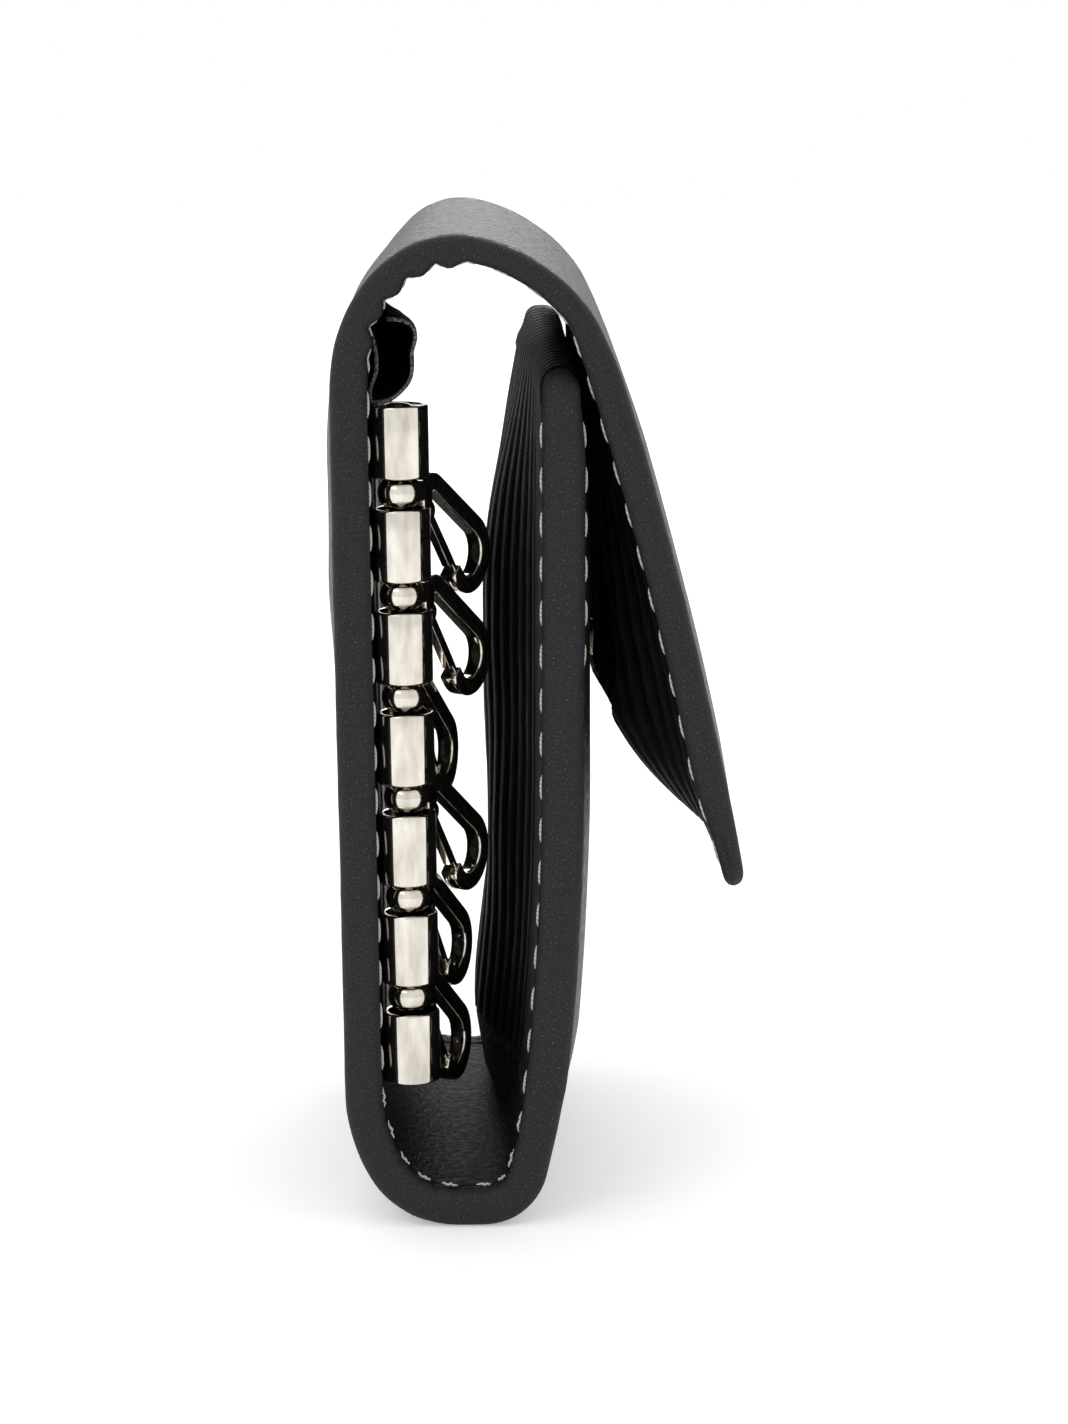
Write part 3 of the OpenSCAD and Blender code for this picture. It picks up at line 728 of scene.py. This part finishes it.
def lining(name, a, b, over_top=False):
    """Ribbed lining between stations a and b; the front's also runs over its top edge."""
    steps = round(b - a)
    marks = [mix(a, b, k / steps) for k in range(steps + 1)]
    ys = [mix(IN_NEAR, IN_FAR, k / LINING_COLUMNS) for k in range(LINING_COLUMNS + 1)]
    rows = [[lining_point(s, y) for y in ys] for s in marks]
    if over_top:
        head, head_marks = top_turn(ys)
        rows, marks = head + rows, head_marks + marks
    ob = grid(name, rows, uv=lambda i, k: (ys[k], marks[i]))
    if a <= SOCKET_S <= b:
        cut_hole(ob, at(SOCKET_S, FOLD_T, 0.0), SOCKET_R - HOLE_LAP)
    return dress(ob, [LINING])


def cut_hole(ob, centre, r):
    """Opens the lining under the socket."""
    bm = bmesh.new()
    bm.from_mesh(ob.data)
    inside = [f for f in bm.faces if (f.calc_center_median() / MM - centre).length < r]
    bmesh.ops.delete(bm, geom=inside, context="FACES")
    bm.to_mesh(ob.data)
    bm.free()


def top_turn(ys):
    """Rows that take the front's lining from the panel's outer face over its top edge and down
    into its recess, with their stations."""
    path = [(1.4, 0.0), (0.7, 0.0), (0.25, 0.0)]
    path += [(-0.02, PANEL_T * k / TOP_STEPS) for k in range(TOP_STEPS + 1)]
    path += [(s, PANEL_T) for s in (0.25, 0.7, 1.4, 2.4, 3.4)]
    rows, marks = [], []
    for s, d in path:
        row = []
        for y in ys:
            y1, d1 = end_shape(max(s, 0.0), y, d, PANEL_T)
            out = TOP_GAP + RIB_H + ribs(y)
            side = (d1 - PANEL_T / 2) / (PANEL_T / 2)
            d1 += out * side - belly(0, y) * (1 - d / PANEL_T)
            if d == PANEL_T:
                d1 += slack(s, y) * smooth(s / 3)
            row.append(at(s - out * (1 - abs(side)), d1 + lean(s, y), y1))
        rows.append(row)
        marks.append(s - PANEL_T + d if d else -PANEL_T - s)
    return rows, marks


# Boards
BOARD_PLAY, BOARD_COVER, BOARD_COLUMNS = 0.2, 0.3, 16


def board(name, a, b):
    """Stiffener board between the leather and the lining, from station a to b."""
    rows = []
    steps = round(b - a)
    near, far = IN_NEAR + BOARD_PLAY, IN_FAR - BOARD_PLAY
    for i in range(steps + 1):
        s = mix(a, b, i / steps)
        top = min(LEATHER_T + BOARD_T, panel_t(s) - BOARD_COVER)
        ys = [mix(near, far, k / BOARD_COLUMNS) for k in range(BOARD_COLUMNS + 1)]
        row = [at(s, LEATHER_T + lean(s, y), y) for y in ys]
        rows.append(row + [at(s, top + lean(s, y), y) for y in reversed(ys)])
    return dress(sharpen(grid(name, rows, closed=True, caps=True)), [BOARD])


# Stitches
STITCH_STEPS, STITCH_SIDES = 8, 8
END_STITCHES = range(-5, 6)
OUTER_SINK, OUTER_SINK_FROM, OUTER_SINK_RUN, INNER_SINK = 0.3, 28, 6, 0.02
INNER_END_LIFT, FRONT_END_LIFT, FLAP_END_LIFT = -0.18, 0.0, 0.15


def stitch(verts, faces, place):
    """One thread stitch: a slanted, slightly arched capsule; place maps u, v, w to a point."""
    first = len(verts)
    for i in range(STITCH_STEPS + 1):
        u = -1 + 2 * i / STITCH_STEPS
        girth = math.sqrt(max(0.04, 1 - abs(u) ** 3.2))
        for p, q in circle(girth / 2, STITCH_SIDES):
            v = 0.1 * u + 0.06 * u * u + STITCH_W * p
            w = STITCH_H * 0.36 * (1 - 0.5 * u * u) + STITCH_H * q
            verts.append(place(u * STITCH_LEN / 2, v, w))
    for i in range(STITCH_STEPS):
        for k in range(STITCH_SIDES):
            j = (k + 1) % STITCH_SIDES
            a, b = first + i * STITCH_SIDES, first + (i + 1) * STITCH_SIDES
            faces.append((a + k, a + j, b + j, b + k))
    faces.append(tuple(first + k for k in reversed(range(STITCH_SIDES))))
    last = first + STITCH_STEPS * STITCH_SIDES
    faces.append(tuple(last + k for k in range(STITCH_SIDES)))


def stitch_base(s, y, inner):
    """Depth of the leather's face under a stitch."""
    if inner:
        return panel_t(s) - INNER_SINK + scallop(s) + lean(s, y)
    sunk = OUTER_SINK * smooth((s - OUTER_SINK_FROM) / OUTER_SINK_RUN)
    return lean(s, y) - belly(s, y) + sunk


def edge_stitch(s0, y0, inner, mirror):
    """Maps a stitch's u, v, w to the leather, for a stitch that runs along the wrap."""
    up = 1 if inner else -1

    def place(u, v, w):
        s, y = s0 + u, y0 + v * mirror
        return at(s, stitch_base(s, y, inner) + up * w, y)
    return place


def end_stitch(s0, y0, inner, lift):
    """The same for a stitch that runs across the wrap at a free end."""
    up = 1 if inner else -1

    def place(u, v, w):
        s, y = s0 + v, y0 + u
        return at(s, stitch_base(s, y, inner) + up * (w + lift), y)
    return place


def stitches(name, a, b, sides, ends=False):
    """Rows of stitches along both edges between stations a and b, on the given faces, and
    across the free end if ends is set."""
    verts, faces = [], []
    first = math.ceil((a - STITCH_0) / PITCH)
    last = math.floor((b - STITCH_0) / PITCH)
    centres = [STITCH_0 + k * PITCH for k in range(first, last + 1)]
    centres = [s for s in centres if EDGE_W < s < TIP - EDGE_W and a <= s < b]
    end_s, outer_lift = (INSET, FRONT_END_LIFT) if a == 0 else (TIP - INSET, FLAP_END_LIFT)
    for inner in sides:
        for y0, mirror in ((NEAR + INSET, 1), (FAR - INSET, -1)):
            for s0 in centres:
                stitch(verts, faces, edge_stitch(s0, y0, inner, mirror))
        if ends:
            lift = INNER_END_LIFT if inner else outer_lift
            for k in END_STITCHES:
                stitch(verts, faces, end_stitch(end_s, k * PITCH, inner, lift))
    return dress(mesh(name, verts, faces), [THREAD])


# Key rail
RAIL_S, RAIL_Y = 161.0, -27.9
AXIS_X = 7.3
TUBE_R, TUBE_WALL = 3.2, 0.65
KNUCKLE, SLOT = 7.8, 3.35
HOOK_PITCH = KNUCKLE + SLOT
HOOKS = 6
RAIL_LEN = (HOOKS + 1) * KNUCKLE + HOOKS * SLOT
PLATE_T, PLATE_START, PLATE_W, PLATE_CORNER = 0.7, 1.0, 10.0, 1.2
RIVET_SHARE, HEAD_R, HEAD_TIP, HEAD_H, HEAD_BRIM = 0.68, 1.6, 0.1, 0.4, 0.08
RIVET_Y = RAIL_Y + PLATE_W * RIVET_SHARE
RIVET_Z = (RAIL_LEN - KNUCKLE) / 2
KNUCKLE_LIP, KNUCKLE_STEPS = 0.22, 72
SEAM_AT, SEAM_W, SEAM_D = 196, 5, 0.12
BACK = wrap_frame(RAIL_S, RAIL_Y)


def nickel(ob):
    return dress(ob, [NICKEL])


def slot_z(k):
    return ((HOOKS - 1) / 2 - k) * HOOK_PITCH


def knuckle(k):
    """One rolled knuckle: a hollow tube with rounded lips and the roll's seam on its back."""
    top = RAIL_LEN / 2 - k * HOOK_PITCH
    low = top - KNUCKLE
    lip, bore = KNUCKLE_LIP, TUBE_R - TUBE_WALL
    profile = [(low + lip * 2, bore), (low + 0.05, bore)]
    for z, sign in ((low, 1), (top, -1)):
        turn = [(z + sign * lip * (1 - math.sin(a)), TUBE_R - lip * (1 - math.cos(a)))
                for a in (math.radians(90 - 22.5 * i) for i in range(5))]
        profile += turn if sign > 0 else list(reversed(turn))
    profile += [(top - 0.05, bore), (top - lip * 2, bore)]
    rows = []
    for z, r in profile:
        row = []
        for i in range(KNUCKLE_STEPS):
            a = 2 * math.pi * i / KNUCKLE_STEPS
            seam = SEAM_D * math.exp(-((math.degrees(a) - SEAM_AT) / SEAM_W) ** 2)
            x, y = (r - seam) * math.cos(a), (r - seam) * math.sin(a)
            row.append(BACK @ Vector((AXIS_X + x, y, z)))
        rows.append(row)
    ob = sharpen(grid(f"rail_knuckle_{k + 1}", rows, closed=True), 50)
    return nickel(ob)


def rail_plate():
    """The strip that carries the knuckles, with rounded corners and softened edges. Its nickel is
    darkened as painted shade, for the shade behind the tube.
    """
    middle = (PLATE_START + PLATE_W) / 2
    shape = rounded(PLATE_W - PLATE_START, RAIL_LEN, PLATE_CORNER, 5)
    outline = [(middle + u, v) for u, v in shape]
    ob = prism("rail_plate", outline, PANEL_T, PANEL_T + PLATE_T,
               lambda u, v, t: BACK @ Vector((t, u, v)))
    return dress(bevel(ob, 0.33, 4), [SHADED_NICKEL])


def rail_end_walls():
    """Discs that close the tube's two ends round the pin."""
    walls = []
    for side in (-1, 1):
        place = BACK @ Matrix.Translation((AXIS_X, 0, side * RAIL_LEN / 2))
        place = place @ Matrix.Rotation(math.radians(90 * side), 4, "Y")
        r = TUBE_R - TUBE_WALL + 0.05
        profile = [(0.7, 0.3), (0.7, r), (0.16, r), (0.1, r - 0.1), (0.1, 1.45), (0.02, 1.3),
                   (-0.08, 1.1), (-0.16, 0.75), (-0.2, 0.3)]
        ob = turned(f"rail_end_{'low' if side < 0 else 'top'}", profile, place)
        walls.append(nickel(ob))
    return walls


def rivet_head(side):
    """Domed head of a rivet that holds the rail to the back."""
    place = wrap_frame(RAIL_S, RIVET_Y) @ Matrix.Translation((0, 0, side * RIVET_Z))
    x = PANEL_T + PLATE_T
    dome = arc_points(0, 0, 1, 0, 90, 8)
    profile = [(x - 0.1, HEAD_R)]
    profile += [(x + HEAD_BRIM + HEAD_H * v, mix(HEAD_TIP, HEAD_R, u)) for u, v in dome]
    return nickel(turned(f"rail_rivet_{'low' if side < 0 else 'top'}", profile, place))


# Hooks
DROOPS = [42, 44, 44, 44, 44, 44]
SWINGS = [28, 28, 15, 26, 19, 18]
NECK_X = TUBE_R + 1.5
RING_R, RING_H, PIN_R = 2.45, 3.0, 1.2
ROOT_X, ROOT_R, END_X, END_R = 1.9, 2.7, 12.9, 4.5
WIRE_W, HOOK_T, GATE_T = 2.0, 2.1, 1.1
FLARE = math.asin((END_R - ROOT_R) / (END_X - ROOT_X))
GATE_START, GATE_LEN, NOSE_LAP = 0.4, 9.85, 1.2
EYE_R, RIVET_R, CHEEK_R, CHEEK_T = 0.94, 0.45, 0.98, 0.36
# The neck's sections: distance from the pin, low and top side, and thickness
NECK = [(1.4, -1.2, 1.2, 1.7), (2.0, -1.3, 1.2, 2.0), (2.7, -1.45, 1.05, 2.1),
        (3.5, -1.5, 0.92, 2.1), (4.5, -1.7, 0.85, 2.1), (5.3, -2.2, 0.3, 2.1)]


def hook_place(k):
    """Frame of hook k on the pin: X across the hook, Y along it, Z up."""
    m = BACK @ Matrix.Translation((AXIS_X, 0, slot_z(k)))
    return m @ Matrix.Rotation(-math.radians(SWINGS[k]), 4, "Z")


def drooped(k):
    """Maps a point u, v of the loop's flat drawing and a thickness t to the hook's place."""
    m, d = hook_place(k), math.radians(DROOPS[k])

    def place(u, v, t):
        along = NECK_X + u * math.cos(d) + v * math.sin(d)
        return m @ Vector((t, along, -u * math.sin(d) + v * math.cos(d)))
    return place


def gate_point(x, y):
    """Point of the gate's frame in the loop's flat drawing."""
    r = ROOT_R - WIRE_W / 2
    ox = ROOT_X - r * math.sin(FLARE) + GATE_START * math.cos(FLARE)
    oy = -r * math.cos(FLARE) - GATE_START * math.sin(FLARE)
    c, s = math.cos(FLARE), math.sin(FLARE)
    return ox + x * c + y * s, oy - x * s + y * c


def loop_path():
    """Middle line of the loop's metal, from the nose round to the gate's eye."""
    flare = math.degrees(FLARE)
    path = [gate_point(GATE_LEN - NOSE_LAP * 0.15, 0)]
    path += arc_points(END_X, 0, END_R - WIRE_W / 2, -90 - flare, 90 + flare, 24)
    return path + arc_points(ROOT_X, 0, ROOT_R - WIRE_W / 2, 90 + flare, 262 - flare, 12)


def bar(name, path, place, width, thick, radius):
    """A bar with a rounded section, width in the drawing's plane, swept along a path."""
    pts = [Vector(p) for p in path]
    rows = []
    shape = rounded(width, thick, radius)
    for i, p in enumerate(pts):
        step = pts[min(i + 1, len(pts) - 1)] - pts[max(i - 1, 0)]
        side = Vector((-step.y, step.x)).normalized()
        rows.append([place(*(p + side * w), t) for w, t in shape])
    for end, toward in ((0, 1), (-1, -2)):
        inner, p = pts[end], pts[toward]
        out = (inner - p).normalized() * BAR_TAPER
        centre = place(inner.x + out.x, inner.y + out.y, 0.0)
        step = place(*(inner + out), 0) - place(*inner, 0)
        tip = [mix(centre, q + step, BAR_END) for q in rows[end]]
        rows.insert(0 if end == 0 else len(rows), tip)
    return grid(name, rows, closed=True, caps=True)


def ring_profile():
    """Collar with a full round outside, and the bore for the pin."""
    pts = [(-RING_H / 2 + 0.2, PIN_R + 0.05), (-RING_H / 2 + 0.04, PIN_R + 0.1)]
    round_side = arc_points(0, 0, 1, -90, 90, 16)
    pts += [(RING_H / 2 * v, mix(PIN_R + 0.2, RING_R, u)) for u, v in round_side]
    pts += [(RING_H / 2 - 0.04, PIN_R + 0.1), (RING_H / 2 - 0.2, PIN_R + 0.05)]
    return pts


def hook_ring(k):
    m = hook_place(k)
    rows = []
    for z, r in ring_profile():
        rows.append([m @ Vector((u, v, z)) for u, v in circle(r, RING_STEPS)])
    return sharpen(grid(f"hook_{k + 1}_ring", rows, closed=True), 50)


def hook_neck(k):
    """Short bar that drops from the ring into the loop's root."""
    m = hook_place(k)
    rows = []
    for x, low, top, thick in NECK:
        mid = (low + top) / 2
        shape = rounded(top - low, thick, 0.5)
        rows.append([m @ Vector((t, x, mid + w)) for w, t in shape])
    return grid(f"hook_{k + 1}_neck", rows, closed=True, caps=True)


def cheek(k, side, place):
    """One of the two thin cheeks that hold the gate's rivet."""
    outline = [gate_point(*p) for p in arc_points(0, 0, CHEEK_R, -100, 100, 16)]
    outline += [gate_point(-1.3, 0.85), gate_point(-1.3, -0.85)]
    t0 = HOOK_T / 2 - CHEEK_T
    x0, x1 = (t0, HOOK_T / 2) if side > 0 else (-HOOK_T / 2, -t0)
    return bevel(prism(f"hook_{k + 1}_cheek_{side + 1}", outline, x0, x1, place), 0.1, 2)


def hook(k):
    place = drooped(k)
    loop = bar(f"hook_{k + 1}_loop", loop_path(), place, WIRE_W, HOOK_T, 0.48)
    pieces = [loop, hook_ring(k), hook_neck(k), cheek(k, -1, place), cheek(k, 1, place)]
    for ob in pieces:
        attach(nickel(ob), f"hook_{k + 1}")
    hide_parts(f"hook_{k + 1}")


def gate(k):
    """Spring gate: an eye on its rivet, a slim strip and a stepped nose."""
    outline = [gate_point(*p) for p in arc_points(0, 0, EYE_R, 58, 335, 16)]
    step, end = GATE_LEN - NOSE_LAP, GATE_LEN - 0.15
    for x, y in ((1.4, -0.36), (step, -0.4), (step + 0.05, 0.12), (end, 0.14), (end, 0.74),
                 (step - 1.0, 0.8), (1.2, 0.8)):
        outline.append(gate_point(x, y))
    place = drooped(k)
    ob = prism(f"gate_{k + 1}_strip", outline, -GATE_T / 2, GATE_T / 2, place)
    bevel(ob, 0.16, 3)
    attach(nickel(ob), f"gate_{k + 1}")
    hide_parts(f"gate_{k + 1}")


def gate_rivet(k):
    """Rivet with a domed head on each cheek."""
    place = drooped(k)
    cx, cy = gate_point(0, 0)
    rows = []
    half = HOOK_T / 2
    head = [(half - 0.2, RIVET_R), (half + 0.02, RIVET_R + 0.08), (half + 0.12, 0.36),
            (half + 0.16, 0.12)]
    for t, r in [(-t, r) for t, r in reversed(head)] + head:
        rows.append([place(cx + u, cy + v, t) for u, v in circle(r, RIVET_STEPS)])
    ob = grid(f"gate_rivet_{k + 1}_pin", rows, closed=True, caps=True)
    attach(nickel(ob), f"hook_{k + 1}")
    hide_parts(f"gate_rivet_{k + 1}")


# Snap
def snap_stud():
    """Stud on the front: a dished flange, a waisted neck and a rolled head."""
    out = belly(STUD_S, 0.0) - lean(STUD_S, 0.0)
    place = wrap_frame(STUD_S, 0.0, -out)
    profile = [(0.3, 4.0), (0.02, 4.02), (-0.2, 3.95), (-0.34, 3.7), (-0.36, 3.3), (-0.3, 2.6),
               (-0.34, 2.25), (-0.6, 2.0), (-0.95, 1.95), (-1.1, 2.1), (-1.3, 2.12),
               (-1.46, 1.95), (-1.5, 1.6), (-1.44, 1.1), (-1.3, 0.8), (-1.26, 0.3)]
    ob = dress(turned("snap_stud_head", profile, place), [GOLD])
    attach(ob, "front_panel")
    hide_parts("snap_stud")


def snap_socket():
    """Socket on the flap: a rolled rim round a well with a spring ring."""
    place = wrap_frame(SOCKET_S, 0.0, slack(SOCKET_S, 0.0) + lean(SOCKET_S, 0.0))
    x = FOLD_T
    profile = [(x - 0.8, 5.4), (x + 0.1, 5.5), (x + 0.38, 5.38), (x + 0.5, 5.1), (x + 0.5, 4.7),
               (x + 0.38, 4.4), (x + 0.3, 3.6), (x + 0.42, 3.2), (x + 0.5, 2.95),
               (x + 0.46, 2.7), (x + 0.3, 2.58), (x - 0.1, 2.55), (x - 0.5, 2.6),
               (x - 0.58, 2.3), (x - 0.6, 1.2), (x - 0.6, 0.3)]
    ob = dress(turned("snap_socket_cup", profile, place), [GOLD])
    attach(ob, "flap")
    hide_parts("snap_socket")


# Slip pocket
POCKET_Z, POCKET_LEN, POCKET_DEPTH = RAIL_LEN / 2 + 0.3, 8.9, 36.0
POCKET_BULGE, POCKET_HEAD, POCKET_BOW = 4.5, 1.8, 0.7
POCKET_STEPS, POCKET_T = 24, 0.4


def pocket_path(share):
    """Section of the pocket at a share of its depth: down its back layer, then round its
    gaping front layer to the top."""
    gape = 1 - 0.9 * smooth(share * 1.15)
    path = []
    for k in range(10):
        x = PANEL_T + 0.35 + POCKET_BOW * gape * math.sin(math.pi * k / 9)
        path.append((x, POCKET_LEN * (0.86 - 0.08 * k)))
    for u, v in arc_points(0, 0, 1, -90, 90, 24):
        out = POCKET_BULGE * max(0.0, u) ** 0.8 + POCKET_HEAD * smooth((v - 0.1) / 0.9)
        path.append((PANEL_T + 0.45 + gape * out, POCKET_LEN * (0.5 + 0.5 * v)))
    return path


def slip_pocket():
    """Textile pocket above the rail, whose raw near edge gapes and waves."""
    rows = []
    place = wrap_frame(RAIL_S, 0.0)
    for i in range(POCKET_STEPS + 1):
        share = i / POCKET_STEPS
        row = []
        for k, (x, z) in enumerate(pocket_path(share)):
            ruffle = 0.45 * math.sin(k * 0.9) + 0.3 * math.sin(k * 0.37)
            ruffle *= 1 - smooth(share * 4)
            y = IN_NEAR + 0.3 + ruffle + share * (POCKET_DEPTH - 0.3)
            x += 0.16 * noise.noise(Vector((k / 4, share * 9, 4.4)))
            row.append(place @ Vector((x, y, POCKET_Z + z)))
        rows.append(row)
    lengths = [0.0]
    for p, q in zip(rows[0], rows[0][1:]):
        lengths.append(lengths[-1] + (q - p).length)
    ob = grid("slip_pocket", rows, uv=lambda i, k: (i * POCKET_DEPTH / POCKET_STEPS, lengths[k]))
    solid = ob.modifiers.new("cloth", "SOLIDIFY")
    solid.thickness, solid.offset = POCKET_T * MM, 0
    solid.material_offset_rim = 1
    dress(ob, [LINING, RAW_EDGE])
    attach(ob, "case")
    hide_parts("back_pocket")


# Putting the case together
FOLD_BODIES = ["case", "top_fold_1", "top_fold_2", "top_fold_3", "flap"]
FOOT_REACH, FOLD_REACH = 3.5, 3.2


def bend(ob, first, second, s, reach):
    """Bakes the piece's transform into its mesh; it is not blended between bodies, and first,
    second and reach are not used.
    """
    h = raw_pose(s)[2]
    middle = at(s, 0, 0)
    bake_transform(ob)


def foot_bend(ob):
    bend(ob, "front_panel", "case", FOOT_HINGE, FOOT_REACH)


def fold_bend(ob, i):
    bend(ob, FOLD_BODIES[i], FOLD_BODIES[i + 1], CREASES[i], FOLD_REACH)


def leather_pieces():
    front = skin("front_skin", 0.0, FOOT_CUTS[0])
    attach(front, "front_panel")
    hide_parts("front_leather")
    foot_bend(skin("foot_skin", *FOOT_CUTS))
    back = skin("back_skin", FOOT_CUTS[1], FOLD_CUTS[0])
    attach(back, "case")
    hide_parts("back_leather")
    for i in range(4):
        fold = skin(f"top_fold_skin_{i + 1}", FOLD_CUTS[i], FOLD_CUTS[i + 1])
        fold_bend(fold, i)
        if i < 3:
            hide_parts(f"top_fold_leather_{i + 1}")
    flap = skin("flap_skin", FOLD_CUTS[4], TIP)
    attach(flap, "flap")
    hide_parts("flap_leather")


def lining_pieces():
    front = lining("front_lining_sheet", EDGE_W, FRONT_END, over_top=True)
    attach(front, "front_panel")
    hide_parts("front_lining")
    back = lining("back_lining_sheet", FOOT_END, FOLD_CUTS[0])
    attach(back, "case")
    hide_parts("back_lining")
    for i in range(4):
        fold = lining(f"top_fold_lining_sheet_{i + 1}", FOLD_CUTS[i], FOLD_CUTS[i + 1])
        fold_bend(fold, i)
        if i < 3:
            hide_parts(f"top_fold_lining_{i + 1}")
    flap = lining("flap_lining_sheet", FOLD_CUTS[4], TIP - EDGE_W)
    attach(flap, "flap")
    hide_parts("flap_lining")


def board_pieces():
    front = board("front_board_sheet", EDGE_W + BOARD_PLAY, FRONT_END - BOARD_PLAY)
    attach(front, "front_panel")
    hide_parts("front_board")
    flap = board("flap_board_sheet", FOLD_CUTS[4] + BOARD_PLAY, TIP - EDGE_W - BOARD_PLAY)
    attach(flap, "flap")
    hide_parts("flap_board")


def stitch_pieces():
    """The seams; the back's outer one stands for no node."""
    for part, a, b, body in (("front", 0.0, FOOT_CUTS[0], "front_panel"),
                             ("back", FOOT_CUTS[1], FOLD_CUTS[0], "case"),
                             ("flap", FOLD_CUTS[4], TIP, "flap")):
        for seam, inner in ((part, True), (f"{part}_outer", False)):
            ob = stitches(f"{seam}_stitches", a, b, (inner,), ends=part != "back")
            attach(ob, body)
            if seam != "back_outer":
                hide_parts(f"{seam}_stitching")
    foot_bend(stitches("foot_stitches", *FOOT_CUTS, (True, False)))
    for i in range(4):
        ob = stitches(f"top_fold_stitches_{i + 1}", FOLD_CUTS[i], FOLD_CUTS[i + 1], (True, False))
        fold_bend(ob, i)


def rail_pieces():
    plate = rail_plate()
    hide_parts("key_rail")
    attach(plate, "case")
    for ob in [knuckle(k) for k in range(HOOKS + 1)] + rail_end_walls():
        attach(ob, "case")
    heads = [rivet_head(-1), rivet_head(1)]
    for ob in heads:
        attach(ob, "case")
    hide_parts("rail_rivets")


def kept_nodes():
    """Materials for the CAD nodes that stay as they are."""
    finish = {"back_board": BOARD, "rail_pin": NICKEL, "rail_washers": NICKEL,
              "snap_post": NICKEL, "snap_cap": GOLD}
    for name, mat in finish.items():
        ob = frame["nodes"][name]
        ob.data.materials.clear()
        ob.data.materials.append(mat)


# Studio
# The camera's place in millimetres and its aim in degrees; the focal length is in pixels of
# the photograph's frame
CAMERA_AT = Vector((-7.0, -460.0, 140.6))
PITCH_DOWN, YAW_RIGHT = 10.95, 0.85
FOCAL_PX, IMAGE_H = 4052.0, 1424.0
SENSOR = 36.0
CLIP_NEAR, CLIP_FAR = 0.01, 20.0
FLOOR_SIDE, FLOOR_GLOW, WORLD_LIGHT = 1.6, 0.32, 0.85


def camera():
    data = bpy.data.cameras.new("camera")
    data.sensor_width = SENSOR
    data.lens = FOCAL_PX * SENSOR / IMAGE_H
    data.clip_start, data.clip_end = CLIP_NEAR, CLIP_FAR
    ob = link("camera", data)
    ob.location = CAMERA_AT * MM
    ob.rotation_euler = (math.radians(90 - PITCH_DOWN), 0, -math.radians(YAW_RIGHT))
    bpy.context.scene.camera = ob


def floor():
    """Pale floor that takes the case's shadow and shows white to camera and metal."""
    ends = (-FLOOR_SIDE, 0, FLOOR_SIDE)
    ob = grid("floor", [[Vector((x, y, 0)) / MM for x in ends] for y in ends])
    net = Net("floor_white", (0.93, 0.93, 0.93), 0.9, specular=0.1)
    glow = net.math("MULTIPLY", net.seen(), FLOOR_GLOW)
    net.set(net.shader, {"Emission Color": (1, 1, 1, 1), "Emission Strength": glow})
    ob.data.materials.append(net.done())
    ob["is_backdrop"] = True


def world():
    """Backdrop that is white where it is seen, straight or in metal, and dimmer as light."""
    w = bpy.data.worlds.new("studio")
    w.use_nodes = True
    tree = Tree(w.node_tree)
    values = {"Value": tree.seen(), "To Min": WORLD_LIGHT, "To Max": 1.0}
    level = tree.add("ShaderNodeMapRange", values).outputs[0]
    tree.set(tree.nodes["Background"], {"Color": (1, 1, 1, 1), "Strength": level})
    bpy.context.scene.world = w


def lamp(name, place, aim, size, watts):
    data = bpy.data.lights.new(name, "AREA")
    data.size, data.energy = size, watts
    ob = link(name, data)
    ob.location = place
    ob.rotation_euler = (Vector(aim) - Vector(place)).to_track_quat("-Z", "Y").to_euler()


def studio():
    world()
    floor()
    middle = (0.0, 0.0, 0.06)
    lamp("key_light", place=(-0.5, -0.7, 0.8), aim=middle, size=0.5, watts=1.3)
    lamp("top_light", place=(0.05, 0.75, 0.5), aim=middle, size=0.5, watts=1.6)
    bpy.context.scene.view_settings.view_transform = "Standard"


leather_pieces()
lining_pieces()
board_pieces()
stitch_pieces()
rail_pieces()
for index in range(HOOKS):
    hook(index)
    gate(index)
    gate_rivet(index)
snap_stud()
snap_socket()
slip_pocket()
kept_nodes()
camera()
studio()

boxes = [cad_box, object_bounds()]
[[list(corner) for corner in box] for box in boxes]
